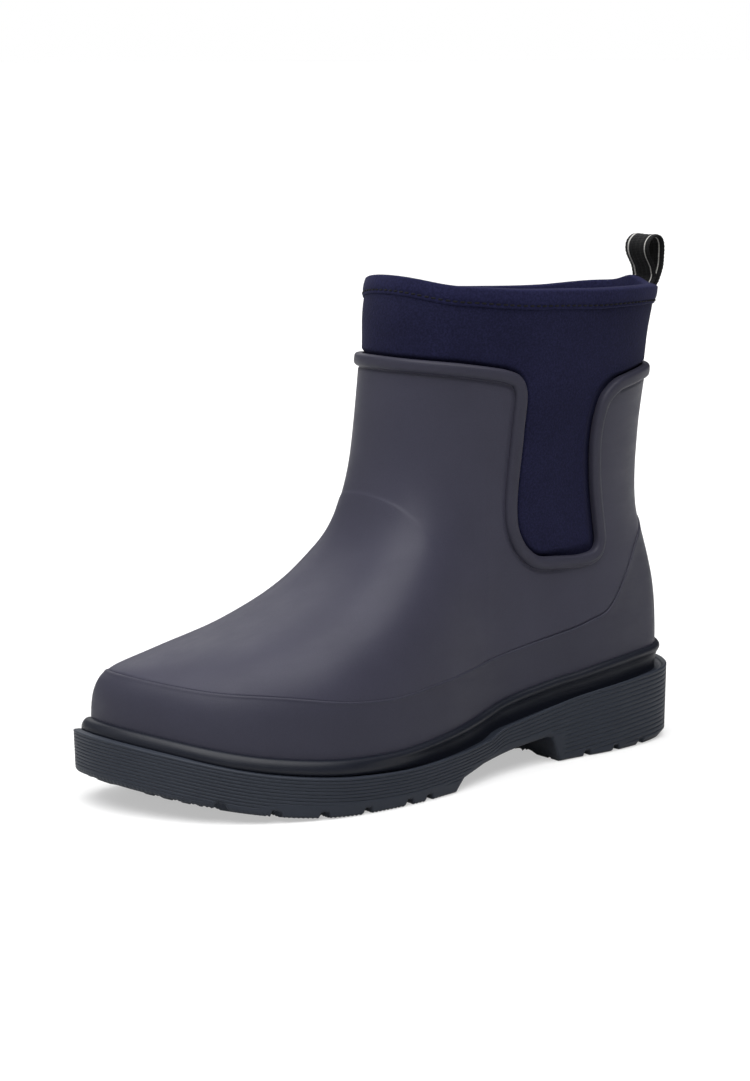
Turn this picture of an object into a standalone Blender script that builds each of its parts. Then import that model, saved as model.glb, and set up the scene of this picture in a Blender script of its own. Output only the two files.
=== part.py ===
"""A left ankle boot in moulded rubber with a neoprene collar.

Metres, +Z up, toe towards -Y, outer side towards +X, standing on Z = 0.
"""

import math

import bmesh
import bpy
import numpy as np

# ---------------------------------------------------------------- sizes
# Outer edge of the sole seen from above (x, y), anticlockwise from the toe.
SOLE_OUTLINE = [
    (-0.0220, -0.1440), (0.0005, -0.1405), (0.0365, -0.1180), (0.0565, -0.0800),
    (0.0595, -0.0450), (0.0545, -0.0100), (0.0425, 0.0300), (0.0385, 0.0650),
    (0.0380, 0.1000), (0.0305, 0.1300), (0.0160, 0.1415), (0.0000, 0.1440),
    (-0.0160, 0.1415), (-0.0305, 0.1300), (-0.0380, 0.1000), (-0.0370, 0.0650),
    (-0.0335, 0.0300), (-0.0395, -0.0100), (-0.0470, -0.0450), (-0.0490, -0.0750),
    (-0.0475, -0.1050), (-0.0440, -0.1255), (-0.0365, -0.1395),
]
CENTRE_X = 0.0052  # middle of the sole's width, which becomes X = 0

# Height of the sole's top edge along the boot.
FLANGE_Y = [-0.144, -0.10, -0.045, 0.03, 0.09, 0.144]
FLANGE_Z = [0.0305, 0.0200, 0.0160, 0.0245, 0.0310, 0.0340]
TOE_SPRING = 0.0125
SPRING_START = -0.060
SOLE_EDGE_ROUND = 0.004
ARCH_GAP = [
    (-0.0085, -0.0020), (-0.0065, 0.0020), (-0.0030, 0.0050), (0.0120, 0.0080),
    (0.0365, 0.0105), (0.0555, 0.0120), (0.0610, 0.0025), (0.0625, -0.0020),
]
TREAD_FORE_Y = [-0.117, -0.098, -0.079, -0.059, -0.037, -0.0255]
TREAD_HEEL_Y = [0.078, 0.095, 0.112]
GROOVE_WIDTH = 0.0032
GROOVE_DEPTH = 0.0028

# The rubber upper starts this far inside the sole's edge.
UPPER_INSET = 0.0058
TOE_LEDGE = 0.0018  # how much wider the ledge is round the toe
UPPER_RISE = 0.0075  # top of the welt bead over the sole's top edge

# Foot part of the boot: height of its crown along the boot.
RIDGE_Y = [-0.140, -0.120, -0.100, -0.070, -0.040, -0.010, 0.030, 0.080, 0.140]
RIDGE_Z = [0.0685, 0.0640, 0.0655, 0.0730, 0.0895, 0.1185, 0.1330, 0.1365, 0.1320]
SIDE_POWER = 3.10
TOE_POWER = 6.0
CROWN_POWER = 3.22
FOOT_CENTRE = (0.0, -0.030)

# Shaft: front and back of each level, and half its width.
LEVELS = [0.02, 0.05, 0.08, 0.11, 0.14, 0.17, 0.20, 0.23]
SHAFT_FRONT = [0.0270, 0.0125, -0.0015, -0.0120, -0.0140, -0.0105, -0.0070, 0.0020]
SHAFT_BACK = [0.1380, 0.1360, 0.1335, 0.1275, 0.1275, 0.1310, 0.1345, 0.1430]
SHAFT_HALF = [0.0330, 0.0360, 0.0375, 0.0385, 0.0410, 0.0435, 0.0455, 0.0470]
SHAFT_POWER = 2.25
SHAFT_AXIS_Y = 0.060
SHAFT_MIDDLE_Y = 0.066

RIM_Y = [-0.010, 0.006, 0.020, 0.050, 0.110, 0.140]
RIM_Z = [0.2155, 0.2095, 0.2070, 0.2050, 0.2030, 0.2035]
# The rim stands this much higher on the outer side, and lower on the inner one.
RIM_TILT = [0.0, 0.0005, 0.0015, 0.0020, 0.0020, 0.0]

# Top line of the raised rubber guard round the foot.
GUARD_Y = [
    -0.140, -0.118, -0.092, -0.057, -0.038, -0.016, 0.011,
    0.048, 0.080, 0.092, 0.104, 0.112, 0.122, 0.130,
]
GUARD_Z = [
    0.0570, 0.0525, 0.0500, 0.0455, 0.0450, 0.0470, 0.0495,
    0.0545, 0.0605, 0.0645, 0.0790, 0.0900, 0.0980, 0.1040,
]

# Lap where the vamp ends on the leg, from the front centre down each side.
LAP_Y = [-0.0190, -0.0150, -0.0090, 0.0000, 0.0100, 0.0200, 0.0300]
LAP_Z = [0.1205, 0.1160, 0.1050, 0.0870, 0.0660, 0.0420, 0.0250]

# Upper edge of the rubber on one side (y, z): front, side window, back.
EDGE = [
    (0.0045, 0.1770), (0.0215, 0.1745), (0.0285, 0.1730), (0.0340, 0.1705), (0.0370, 0.1650),
    (0.0365, 0.1465), (0.0350, 0.1150), (0.0365, 0.1045), (0.0410, 0.0970), (0.0480, 0.0920),
    (0.0605, 0.0905), (0.0740, 0.0900), (0.0810, 0.0915), (0.0830, 0.0950), (0.0825, 0.1015),
    (0.0780, 0.1260), (0.0770, 0.1405), (0.0785, 0.1510), (0.0820, 0.1595), (0.0900, 0.1650),
    (0.0995, 0.1670), (0.1140, 0.1685),
]
EDGE_FRONT_Z = 0.1785
EDGE_BACK_Z = 0.1690
TOP_LINE_Y = [-0.010, 0.021, 0.034, 0.090, 0.130]
TOP_LINE_Z = [0.1790, 0.1755, 0.1740, 0.1700, 0.1700]

# Layers, as distances out from the boot's outer skin.
GAP = 0.0003
UPPER_LIFT = 0.0006
RUBBER = 0.0018
GUARD_OUT = 0.0003
GUARD_IN = -0.0009
RUBBER_UNDER_GUARD = -0.0012
STIFFENER = (-0.0038, -0.0045)
LINING = (-0.0050, -0.0058)
NEOPRENE = 0.0030
COLLAR_CLEARANCE = 0.0011
COLLAR_FOOT_Z = 0.0820

# Collar hem, thread, pull loop.
HEM_HEIGHT = 0.0085
HEM_SKIN = 0.0010
HEM_GAP = 0.0005
THREAD_RADIUS = 0.00035
LOOP_WIDTH = 0.0155
LOOP_X = 0.0040  # the loop is sewn a little to the outer side of the back seam
WEB_THICKNESS = 0.0013
LOOP_LIFT = 0.0016  # hinge line of the loop over the top of the hem
LOOP_PATH = [
    (-0.0009, 0.0012), (-0.0013, 0.0032), (-0.0019, 0.0056), (-0.0034, 0.0082), (-0.0048, 0.0107),
    (-0.0053, 0.0132), (-0.0047, 0.0157), (-0.0028, 0.0176), (-0.0007, 0.0182), (0.0014, 0.0176),
    (0.0026, 0.0156), (0.0029, 0.0131), (0.0029, 0.0104), (0.0028, 0.0079), (0.0024, 0.0053),
    (0.0017, 0.0031), (0.0009, 0.0012),
]

# Inside the shoe.
BOARD = (0.0009, 0.0027)
FOOTBED = (0.0031, 0.0067)
COVER = (0.0070, 0.0080)
BOARD_INSET = 0.0070
FOOTBED_INSET = 0.0081
FOOTBED_HINGE_Y = -0.1292
POCKET_INSET = 0.0125
POCKET_FLOOR = 0.0065
SHANK_Y = (-0.014, 0.082)
SHANK_HALF = 0.0075
SHANK_THICK = 0.0015

COLUMNS = 70
GUARD_ROWS = 4
FINE_ROWS = 150
SOLE_POINTS = 80


# ---------------------------------------------------------------- scene
for item in list(bpy.data.objects):
    bpy.data.objects.remove(item, do_unlink=True)


def material(name, colour, roughness, sheen=0.0, metallic=0.0):
    slot = bpy.data.materials.new(name)
    slot.use_nodes = True
    shader = slot.node_tree.nodes["Principled BSDF"]
    shader.inputs["Base Color"].default_value = (*colour, 1.0)
    shader.inputs["Roughness"].default_value = roughness
    shader.inputs["Metallic"].default_value = metallic
    shader.inputs["Sheen Weight"].default_value = sheen
    slot.diffuse_color = (*colour, 1.0)
    return slot


def make(name, points, faces, slot, smooth=True, origin=None):
    """One object from points in metres, with its origin where a moving piece turns."""
    points = np.asarray(points, float) - np.array([CENTRE_X, 0.0, 0.0])
    place = np.zeros(3) if origin is None else np.asarray(origin, float)
    mesh = bpy.data.meshes.new(name)
    mesh.from_pydata((points - place).tolist(), [], faces)
    work = bmesh.new()
    work.from_mesh(mesh)
    bmesh.ops.remove_doubles(work, verts=work.verts, dist=2e-6)
    bmesh.ops.recalc_face_normals(work, faces=work.faces)
    if work.calc_volume(signed=True) < 0:
        bmesh.ops.reverse_faces(work, faces=work.faces)
    work.to_mesh(mesh)
    work.free()
    for face in mesh.polygons:
        face.use_smooth = smooth
    piece = bpy.data.objects.new(name, mesh)
    piece.location = place.tolist()
    bpy.context.scene.collection.objects.link(piece)
    if slot is not None:
        mesh.materials.append(slot)
    return piece


def cut(piece, cutter):
    """Takes the cutter's shape away from the piece."""
    cutter.hide_render = True
    cutter.display_type = "WIRE"
    step = piece.modifiers.new("cut_" + cutter.name, "BOOLEAN")
    step.operation = "DIFFERENCE"
    step.solver = "EXACT"
    step.object = cutter


# ---------------------------------------------------------------- curves
def curve(xs, ys, x):
    """Smooth curve through the points (xs, ys), read at x and held at its ends."""
    xs = np.asarray(xs, float)
    ys = np.asarray(ys, float)
    slope = np.gradient(ys, xs)
    x = np.clip(x, xs[0], xs[-1])
    i = np.clip(np.searchsorted(xs, x) - 1, 0, len(xs) - 2)
    h = xs[i + 1] - xs[i]
    t = (x - xs[i]) / h
    start = (1 + 2 * t) * (1 - t) ** 2 * ys[i] + t * (1 - t) ** 2 * h * slope[i]
    return start + t * t * (3 - 2 * t) * ys[i + 1] + t * t * (t - 1) * h * slope[i + 1]


def through(points, count, closed=False):
    """Evenly spaced points on a smooth curve through the given ones."""
    p = np.asarray(points, float)
    n = len(p)
    if closed:
        full = np.vstack([p[-1:], p, p[:2]])
        spans = n
    else:
        full = np.vstack([2 * p[:1] - p[1:2], p, 2 * p[-1:] - p[-2:-1]])
        spans = n - 1
    dense = []
    t = np.linspace(0, 1, 24, endpoint=False)[:, None]
    for i in range(spans):
        a, b, c, d = full[i], full[i + 1], full[i + 2], full[i + 3]
        h0 = max(np.linalg.norm(b - a), 1e-9) ** 0.5
        h1 = max(np.linalg.norm(c - b), 1e-9) ** 0.5
        h2 = max(np.linalg.norm(d - c), 1e-9) ** 0.5
        m1 = h1 * ((b - a) / h0 - (c - a) / (h0 + h1) + (c - b) / h1)
        m2 = h1 * ((c - b) / h1 - (d - b) / (h1 + h2) + (d - c) / h2)
        start = (1 + 2 * t) * (1 - t) ** 2 * b + t * (1 - t) ** 2 * m1
        dense.append(start + t * t * (3 - 2 * t) * c + t * t * (t - 1) * m2)
    dense = np.vstack(dense + [p[:1] if closed else p[-1:]])
    run = np.r_[0, np.cumsum(np.linalg.norm(np.diff(dense, axis=0), axis=1))]
    want = np.linspace(0, run[-1], count, endpoint=not closed)
    return np.stack([np.interp(want, run, dense[:, k]) for k in range(dense.shape[1])], -1)


def step_up(t):
    t = np.clip(t, 0.0, 1.0)
    return t * t * (3 - 2 * t)


def inset(outline, distance):
    """The outline moved inwards by a distance."""
    along = np.roll(outline, -1, 0) - np.roll(outline, 1, 0)
    along /= np.linalg.norm(along, axis=1)[:, None]
    outward = np.c_[along[:, 1], -along[:, 0]]
    return outline - outward * distance


# ---------------------------------------------------------------- boot skin
SOLE = through(SOLE_OUTLINE, SOLE_POINTS * 3, closed=True)
LEDGE = UPPER_INSET + TOE_LEDGE * step_up((-0.112 - SOLE[:, 1]) / 0.026)
UPPER_FOOT = inset(SOLE, LEDGE[:, None])


def flange(y):
    return curve(FLANGE_Y, FLANGE_Z, y)


def polar_of(outline, centre):
    away = outline - np.array(centre)
    angle = np.arctan2(away[:, 0], -away[:, 1])
    order = np.argsort(angle)
    angle = angle[order]
    radius = np.hypot(away[:, 0], away[:, 1])[order]
    angle = np.r_[angle[-8:] - 2 * math.pi, angle, angle[:8] + 2 * math.pi]
    return angle, np.r_[radius[-8:], radius, radius[:8]]


FOOT_ANGLE, FOOT_RADIUS = polar_of(UPPER_FOOT, FOOT_CENTRE)


def skin_value(x, y, z):
    """Below zero inside the boot: the foot's body blended with the shaft."""
    dx = x - FOOT_CENTRE[0]
    dy = y - FOOT_CENTRE[1]
    angle = np.arctan2(dx, -dy)
    out = np.hypot(dx, dy) / np.interp(angle, FOOT_ANGLE, FOOT_RADIUS)
    power = SIDE_POWER + (TOE_POWER - SIDE_POWER) * np.clip(np.cos(angle), 0, 1) ** 6
    base = flange(y) + UPPER_RISE - 0.004
    up = np.maximum(z - base, 0) / np.maximum(curve(RIDGE_Y, RIDGE_Z, y) - base, 0.01)
    foot = ((out**power + up**CROWN_POWER) ** (2 / (power + CROWN_POWER)) - 1) * 0.040
    front = curve(LEVELS, SHAFT_FRONT, z)
    back = curve(LEVELS, SHAFT_BACK, z)
    half = curve(LEVELS, SHAFT_HALF, z)
    across = np.abs(x / half) ** SHAFT_POWER
    along = np.abs((y - (front + back) / 2) / ((back - front) / 2)) ** SHAFT_POWER
    shaft = ((across + along) ** (1 / SHAFT_POWER) - 1) * 0.045
    blend = 0.016 - 0.014 * np.clip((y - 0.02) / 0.05, 0, 1)
    share = np.clip(0.5 + 0.5 * (shaft - foot) / blend, 0, 1)
    return shaft * (1 - share) + foot * share - blend * share * (1 - share)


def outward(points):
    """Unit normals of the skin."""
    x, y, z = np.moveaxis(points, -1, 0)
    e = 2e-4
    slope = np.stack(
        [
            skin_value(x + e, y, z) - skin_value(x - e, y, z),
            skin_value(x, y + e, z) - skin_value(x, y - e, z),
            skin_value(x, y, z + e) - skin_value(x, y, z - e),
        ],
        -1,
    )
    return slope / np.linalg.norm(slope, axis=-1, keepdims=True)


def solve(place, shape):
    """Finds where each ray leaves the boot. place(r) gives the points at distance r."""
    low = np.full(shape, 0.003)
    high = np.full(shape, 0.260)
    for _ in range(28):
        middle = (low + high) / 2
        inside = skin_value(*np.moveaxis(place(middle), -1, 0)) < 0
        low = np.where(inside, middle, low)
        high = np.where(inside, high, middle)
    return place((low + high) / 2)


def rim_height(x, y):
    return curve(RIM_Y, RIM_Z, y) + curve(RIM_Y, RIM_TILT, y) * np.clip(x / 0.035, -1, 1)


def spread(ring, angle):
    """Angles that spread the columns along a ring, closer together where it bends."""
    step = np.diff(ring, axis=0)
    length = np.linalg.norm(step, axis=1)
    heading = np.unwrap(np.arctan2(step[:, 1], step[:, 0]))
    bend = np.abs(np.gradient(heading)) / length
    run = np.r_[0, np.cumsum(length * (1 + 0.030 * np.clip(bend, 0, 60)))]
    return np.interp(np.linspace(0, run[-1], COLUMNS, endpoint=False), run, angle)


def column_angles():
    """Each column's angle at the foot's edge and at the rim."""
    angle = np.linspace(-math.pi, math.pi, 721)
    radius = np.interp(angle, *polar_of(UPPER_FOOT, (0.0, 0.0)))
    foot = np.stack([radius * np.sin(angle), -radius * np.cos(angle)], -1)
    rim = np.stack([0.046 * np.sin(angle), -0.070 * np.cos(angle)], -1)
    return spread(foot, angle), spread(rim, angle)


FOOT_ANGLES, RIM_ANGLES = column_angles()


def skin_columns():
    """Fine points up each column of the skin, from the sole to the rim, and their normals."""
    share = np.linspace(0, 1, FINE_ROWS)[:, None] ** 1.3
    climb = step_up(share / 0.55)
    axis_y = SHAFT_MIDDLE_Y * climb
    angle = FOOT_ANGLES + (RIM_ANGLES - FOOT_ANGLES) * climb
    sine = np.sin(angle)
    cosine = np.cos(angle)

    def place(r):
        y = axis_y - r * cosine
        low = flange(y) + UPPER_LIFT
        return np.stack([r * sine, y, low + (rim_height(r * sine, y) - low) * share], -1)

    points = solve(place, (FINE_ROWS, COLUMNS))
    return points, outward(points)


SKIN, SKIN_OUT = skin_columns()
STEPS = np.linalg.norm(np.diff(SKIN, axis=0), axis=2)
RUN = np.concatenate([np.zeros((1, COLUMNS)), np.cumsum(STEPS, axis=0)])
FOOT_LINE = np.zeros(COLUMNS)
RIM_LINE = RUN[-1]


def line_at(height):
    """Distance up each column where it crosses a height given as a function of y."""
    over = SKIN[:, :, 2] - height(SKIN[:, :, 1])
    found = np.empty(COLUMNS)
    for j in range(COLUMNS):
        i = int(np.argmax(over[:, j] > 0))
        if i == 0:
            found[j] = 0.0 if over[0, j] > 0 else RUN[-1, j]
            continue
        t = -over[i - 1, j] / (over[i, j] - over[i - 1, j])
        found[j] = RUN[i - 1, j] + t * (RUN[i, j] - RUN[i - 1, j])
    return found


def read_skin(run, columns):
    """Skin points and normals at a distance up the given columns."""
    place = np.empty((len(columns), 3))
    out = np.empty((len(columns), 3))
    for k, j in enumerate(columns):
        for axis in range(3):
            place[k, axis] = np.interp(run[k], RUN[:, j], SKIN[:, j, axis])
            out[k, axis] = np.interp(run[k], RUN[:, j], SKIN_OUT[:, j, axis])
    return place, out / np.linalg.norm(out, axis=1)[:, None]


GUARD_LINE = line_at(lambda y: curve(GUARD_Y, GUARD_Z, y))
LAP_LINE = line_at(lambda y: curve(LAP_Y, LAP_Z, y))
TOP_LINE = line_at(lambda y: curve(TOP_LINE_Y, TOP_LINE_Z, y) + 0.012)
COLLAR_FOOT = line_at(lambda y: COLLAR_FOOT_Z + 0 * y)


def grid_faces(rings, size, closed_round, closed_rings):
    faces = []
    last_ring = rings if closed_rings else rings - 1
    last = size if closed_round else size - 1
    for i in range(last_ring):
        for j in range(last):
            a = i * size + j
            b = i * size + (j + 1) % size
            c = ((i + 1) % rings) * size + (j + 1) % size
            d = ((i + 1) % rings) * size + j
            faces.append((a, b, c, d))
    return faces


def shell(name, slot, lines, outer, inner, columns=None):
    """A sheet through a stack of lines on the skin. outer and inner give each layer's distance out."""
    chosen = list(range(COLUMNS)) if columns is None else columns
    rows = len(lines) - 1
    rings = []
    for side in (outer, inner):
        layer = []
        for line in lines:
            place, out = read_skin(line[chosen], chosen)
            distance = side(place) if callable(side) else side
            layer.append(place + out * np.reshape(distance, (-1, 1)))
        rings += layer if side is outer else layer[::-1]
    size = len(chosen)
    faces = []
    for a, b, c, d in grid_faces(len(rings), size, columns is None, True):
        inner_side = rows < a // size < 2 * rows + 1
        faces += [(a, b, d), (b, c, d)] if inner_side else [(a, b, c), (a, c, d)]
    if columns is not None:
        count = len(rings)
        for end in (0, size - 1):
            for i in range(rows):
                a = i * size + end
                b = (i + 1) * size + end
                c = (count - 2 - i) * size + end
                d = (count - 1 - i) * size + end
                faces.append((a, b, c, d))
    return make(name, np.vstack(rings), faces, slot)


def even_lines(low, high, rows):
    return [low + (high - low) * i / rows for i in range(rows + 1)]


def guarded_lines(low, high, rows):
    """Lines from low to high that match the guard's own where a column starts at the sole."""
    top = np.minimum(GUARD_LINE, high - 0.004)
    part = even_lines(low, np.maximum(top, low), GUARD_ROWS)
    part += even_lines(np.maximum(top + 0.006, low), high, rows - GUARD_ROWS - 1)
    plain = even_lines(low, high, rows)
    share = np.maximum(step_up(low / 0.020), step_up((GUARD_LINE + 0.020 - high) / 0.015))
    return [a + (b - a) * share for a, b in zip(part, plain)]


def ring_sweep(name, slot, stations):
    """A closed ring whose section is a list of (distance up each column, distance out)."""
    columns = list(range(COLUMNS))
    rings = []
    for run, distance in stations:
        place, out = read_skin(run, columns)
        rings.append(place + out * np.reshape(distance, (-1, 1)))
    return make(name, np.vstack(rings), grid_faces(len(rings), COLUMNS, True, True), slot)


# ---------------------------------------------------------------- flat layers
def slab(name, slot, outline, bottom, top, shares=(0.72, 0.36), origin=None, edge=0.0):
    """A plate with this outline, between two heights given as functions of y."""
    middle = outline.mean(0)
    rings = []

    def ring(flat, height):
        rings.append(np.c_[flat, height(flat[:, 1])])

    for share in shares[::-1]:
        ring(middle + (outline - middle) * share, bottom)
    if edge:
        ring(inset(outline, edge), bottom)
        ring(outline, lambda y: bottom(y) + edge)
        ring(outline, lambda y: top(y) - edge)
        ring(inset(outline, edge), top)
    else:
        ring(outline, bottom)
        ring(outline, top)
    for share in shares:
        ring(middle + (outline - middle) * share, top)
    size = len(outline)
    count = len(rings)
    points = np.vstack(rings)
    faces = grid_faces(count, size, True, False)
    points = np.vstack([points, [*middle, bottom(middle[1:])[0]], [*middle, top(middle[1:])[0]]])
    for j in range(size):
        k = (j + 1) % size
        faces.append((k, j, count * size))
        faces.append(((count - 1) * size + j, (count - 1) * size + k, count * size + 1))
    return make(name, points, faces, slot, origin=origin)


def box(name, low, high):
    points = [(x, y, z) for x in (low[0], high[0]) for y in (low[1], high[1]) for z in (low[2], high[2])]
    faces = [(0, 1, 3, 2), (4, 6, 7, 5), (0, 4, 5, 1), (2, 3, 7, 6), (0, 2, 6, 4), (1, 5, 7, 3)]
    return make(name, points, faces, None, smooth=False)


def prism(name, outline, half_width, slot=None, centre=0.0, origin=None, smooth=False):
    """An outline in the (y, z) plane, drawn out along X."""
    size = len(outline)
    points = []
    for x in (centre - half_width, centre + half_width):
        points += [(x, y, z) for y, z in outline]
    faces = [tuple(range(size)), tuple(range(2 * size - 1, size - 1, -1))]
    for i in range(size):
        j = (i + 1) % size
        faces.append((i, j, size + j, size + i))
    return make(name, points, faces, slot, smooth=smooth, origin=origin)


def between(outline, low_y, high_y):
    """The part of an outline between two crosswise lines, evenly spaced."""
    kept = outline[(outline[:, 1] > low_y) & (outline[:, 1] < high_y)]
    step = np.linalg.norm(kept - np.roll(kept, 1, 0), axis=1)
    kept = np.roll(kept, -int(np.argmax(step)), 0)
    gap = np.linalg.norm(kept[0] - kept[-1])
    count = int(gap / 0.006)
    bridge = [kept[-1] + (kept[0] - kept[-1]) * (i + 1) / (count + 1) for i in range(count)]
    return np.vstack([kept] + bridge) if bridge else kept


def ground(y):
    """Underside of the sole: flat, rising at the toe."""
    return TOE_SPRING * np.clip((SPRING_START - y) / (SPRING_START + 0.144), 0, None) ** 2


# ---------------------------------------------------------------- materials
RUBBER_SLATE = material("rubber_slate", (0.060, 0.060, 0.080), 0.50)
RUBBER_GUARD = material("rubber_guard", (0.052, 0.051, 0.070), 0.48)
RUBBER_BINDING = material("rubber_binding", (0.032, 0.031, 0.046), 0.45)
RUBBER_WELT = material("rubber_welt", (0.010, 0.011, 0.018), 0.25)
RUBBER_SOLE = material("rubber_sole", (0.030, 0.034, 0.042), 0.45)
NEOPRENE_NAVY = material("neoprene_navy", (0.018, 0.017, 0.045), 0.90, sheen=0.4)
HEM_NAVY = material("hem_navy", (0.024, 0.022, 0.070), 0.90, sheen=0.4)
LINING_KNIT = material("lining_knit", (0.045, 0.045, 0.055), 0.95)
THREAD = material("thread_dark", (0.010, 0.010, 0.020), 0.70)
WEBBING = material("webbing_black", (0.015, 0.015, 0.017), 0.80)
FOAM = material("foam_grey", (0.200, 0.200, 0.210), 0.95)
FOOTBED_FOAM = material("footbed_foam", (0.070, 0.070, 0.080), 0.90)
COVER_CLOTH = material("cover_cloth", (0.050, 0.050, 0.060), 0.95)
BOARD_FIBRE = material("board_fibre", (0.240, 0.200, 0.140), 0.90)
STIFFENER_SHEET = material("stiffener_sheet", (0.300, 0.280, 0.240), 0.85)
SHANK_STEEL = material("shank_steel", (0.450, 0.450, 0.460), 0.35, metallic=1.0)

# ---------------------------------------------------------------- sole
SOLE_RING = SOLE[::3]


def build_outsole():
    middle = SOLE_RING.mean(0)
    rings = []
    for share in (0.35, 0.75):
        flat = middle + (SOLE_RING - middle) * share
        rings.append(np.c_[flat, ground(flat[:, 1])])
    for into, over in ((SOLE_EDGE_ROUND, 0.0), (SOLE_EDGE_ROUND * 0.3, 0.3), (0.0, 1.0)):
        flat = inset(SOLE_RING, into)
        rings.append(np.c_[flat, ground(SOLE_RING[:, 1]) + SOLE_EDGE_ROUND * over])
    rings.append(np.c_[SOLE_RING, flange(SOLE_RING[:, 1]) - 0.0006])
    rings.append(np.c_[inset(SOLE_RING, 0.0006), flange(SOLE_RING[:, 1])])
    for into, share in ((0.0100, 1.0), (0.0100, 0.55)):
        flat = middle + (inset(SOLE_RING, into) - middle) * share
        rings.append(np.c_[flat, flange(flat[:, 1])])
    size = len(SOLE_RING)
    count = len(rings)
    points = np.vstack(rings)
    faces = grid_faces(count, size, True, False)
    points = np.vstack([points, [*middle, ground(middle[1:])[0]], [*middle, flange(middle[1:])[0]]])
    for j in range(size):
        k = (j + 1) % size
        faces.append((k, j, count * size))
        faces.append(((count - 1) * size + j, (count - 1) * size + k, count * size + 1))
    return make("outsole", points, faces, RUBBER_SOLE)


outsole = build_outsole()
cut(outsole, prism("arch_gap", ARCH_GAP, 0.08))
for number, y in enumerate(TREAD_FORE_Y + TREAD_HEEL_Y):
    depth = GROOVE_DEPTH + float(ground(np.array([y]))[0])
    low = (-0.08, y - GROOVE_WIDTH / 2, -0.005)
    high = (0.08, y + GROOVE_WIDTH / 2, depth)
    cut(outsole, box(f"groove_{number}", low, high))

POCKET = inset(SOLE_RING, POCKET_INSET)
FORE_POCKET = between(POCKET, -0.130, -0.008)
HEEL_POCKET = between(POCKET, 0.076, 0.131)


def pocket_floor(y):
    return ground(y) + POCKET_FLOOR


def over_sole(y):
    return flange(y) + 0.010


def filler_bottom(y):
    return pocket_floor(y) + GAP


def filler_top(y):
    return flange(y) - GAP


def fill(name, pocket):
    """Cuts a pocket in the sole and makes the foam block that sits in it."""
    cut(outsole, slab(name + "_pocket", None, pocket, pocket_floor, over_sole, shares=(0.6, 0.2)))
    return slab(name, FOAM, inset(pocket, GAP), filler_bottom, filler_top, shares=(0.6, 0.2))


fore_filler = fill("forefoot_filler", FORE_POCKET)
heel_core = fill("heel_core", HEEL_POCKET)


def shank_outline(grow):
    ys = np.linspace(SHANK_Y[0] - grow, SHANK_Y[1] + grow, 15)
    top = [(y, float(flange(np.array([y]))[0]) - GAP + (0.004 if grow else 0)) for y in ys]
    under = [(y, float(flange(np.array([y]))[0]) - GAP - SHANK_THICK - grow) for y in ys[::-1]]
    return top + under


shank = prism("shank", shank_outline(0.0), SHANK_HALF, SHANK_STEEL)
shank_slot = prism("shank_slot", shank_outline(GAP), SHANK_HALF + GAP)
for piece in (outsole, heel_core, fore_filler):
    cut(piece, shank_slot)

# ---------------------------------------------------------------- inside the foot
FOOT_RING = UPPER_FOOT[::4]
slab(
    "insole_board",
    BOARD_FIBRE,
    inset(FOOT_RING, BOARD_INSET),
    lambda y: flange(y) + BOARD[0],
    lambda y: flange(y) + BOARD[1],
)
HINGE_Z = float(flange(np.array([FOOTBED_HINGE_Y]))[0]) + FOOTBED[0]
FOOTBED_HINGE = (0.0, FOOTBED_HINGE_Y, HINGE_Z)
slab(
    "footbed",
    FOOTBED_FOAM,
    inset(FOOT_RING, FOOTBED_INSET),
    lambda y: flange(y) + FOOTBED[0],
    lambda y: flange(y) + FOOTBED[1],
    origin=FOOTBED_HINGE,
    edge=0.0008,
)
slab(
    "footbed_cover",
    COVER_CLOTH,
    inset(FOOT_RING, FOOTBED_INSET + 0.0006),
    lambda y: flange(y) + COVER[0],
    lambda y: flange(y) + COVER[1],
    origin=FOOTBED_HINGE,
)

# ---------------------------------------------------------------- welt
WELT_SECTION = [
    (0.0007, 0.0000), (0.0014, 0.0000), (0.0012, 0.0022), (0.0026, 0.0028), (0.0031, 0.0044),
    (0.0026, 0.0060), (0.0013, 0.0068), (0.0007, 0.0068),
]
ring_sweep("welt", RUBBER_WELT, [(FOOT_LINE + up, out) for out, up in WELT_SECTION])

# ---------------------------------------------------------------- rubber upper


def over_guard(points):
    """0 below the guard's top line, 1 well above it."""
    above = points[:, 2] - curve(GUARD_Y, GUARD_Z, points[:, 1])
    return step_up((above - 0.0080) / 0.008)


def rubber_outer(points):
    return RUBBER_UNDER_GUARD * (1 - over_guard(points))


def rubber_inner(points):
    return rubber_outer(points) - RUBBER


def behind_lap():
    """Columns of the vamp: those where the lap stands over the sole."""
    tall = LAP_LINE - FOOT_LINE > 0.004
    return [j for j in range(COLUMNS) if tall[j] and abs(FOOT_ANGLES[j]) < 2.8]


VAMP_COLUMNS = behind_lap()
leg_low = FOOT_LINE.copy()
for j in VAMP_COLUMNS:
    leg_low[j] = LAP_LINE[j] + GAP
vamp_high = LAP_LINE - GAP

vamp_lines = guarded_lines(FOOT_LINE, vamp_high, 11)
leg_lines = guarded_lines(leg_low, TOP_LINE, 13)
shell("vamp", RUBBER_SLATE, vamp_lines, rubber_outer, rubber_inner, VAMP_COLUMNS)
leg = shell("leg", RUBBER_SLATE, leg_lines, rubber_outer, rubber_inner)
window = [(-0.05, EDGE_FRONT_Z), (-0.010, EDGE_FRONT_Z)] + EDGE
window += [(0.125, EDGE_BACK_Z), (0.16, EDGE_BACK_Z)]
window = [tuple(p) for p in through(window, 70)] + [(0.16, 0.25), (-0.05, 0.25)]
cut(leg, prism("shaft_window", window, 0.09))

shell("guard", RUBBER_GUARD, even_lines(FOOT_LINE, GUARD_LINE, GUARD_ROWS), GUARD_OUT, GUARD_IN)


# ---------------------------------------------------------------- edge binding
def shaft_point(angle, z):
    """Skin points at an angle round the shaft and a height."""

    def place(r):
        return np.stack([r * np.sin(angle), SHAFT_AXIS_Y - r * np.cos(angle), z + 0 * r], -1)

    return solve(place, angle.shape)


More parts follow.
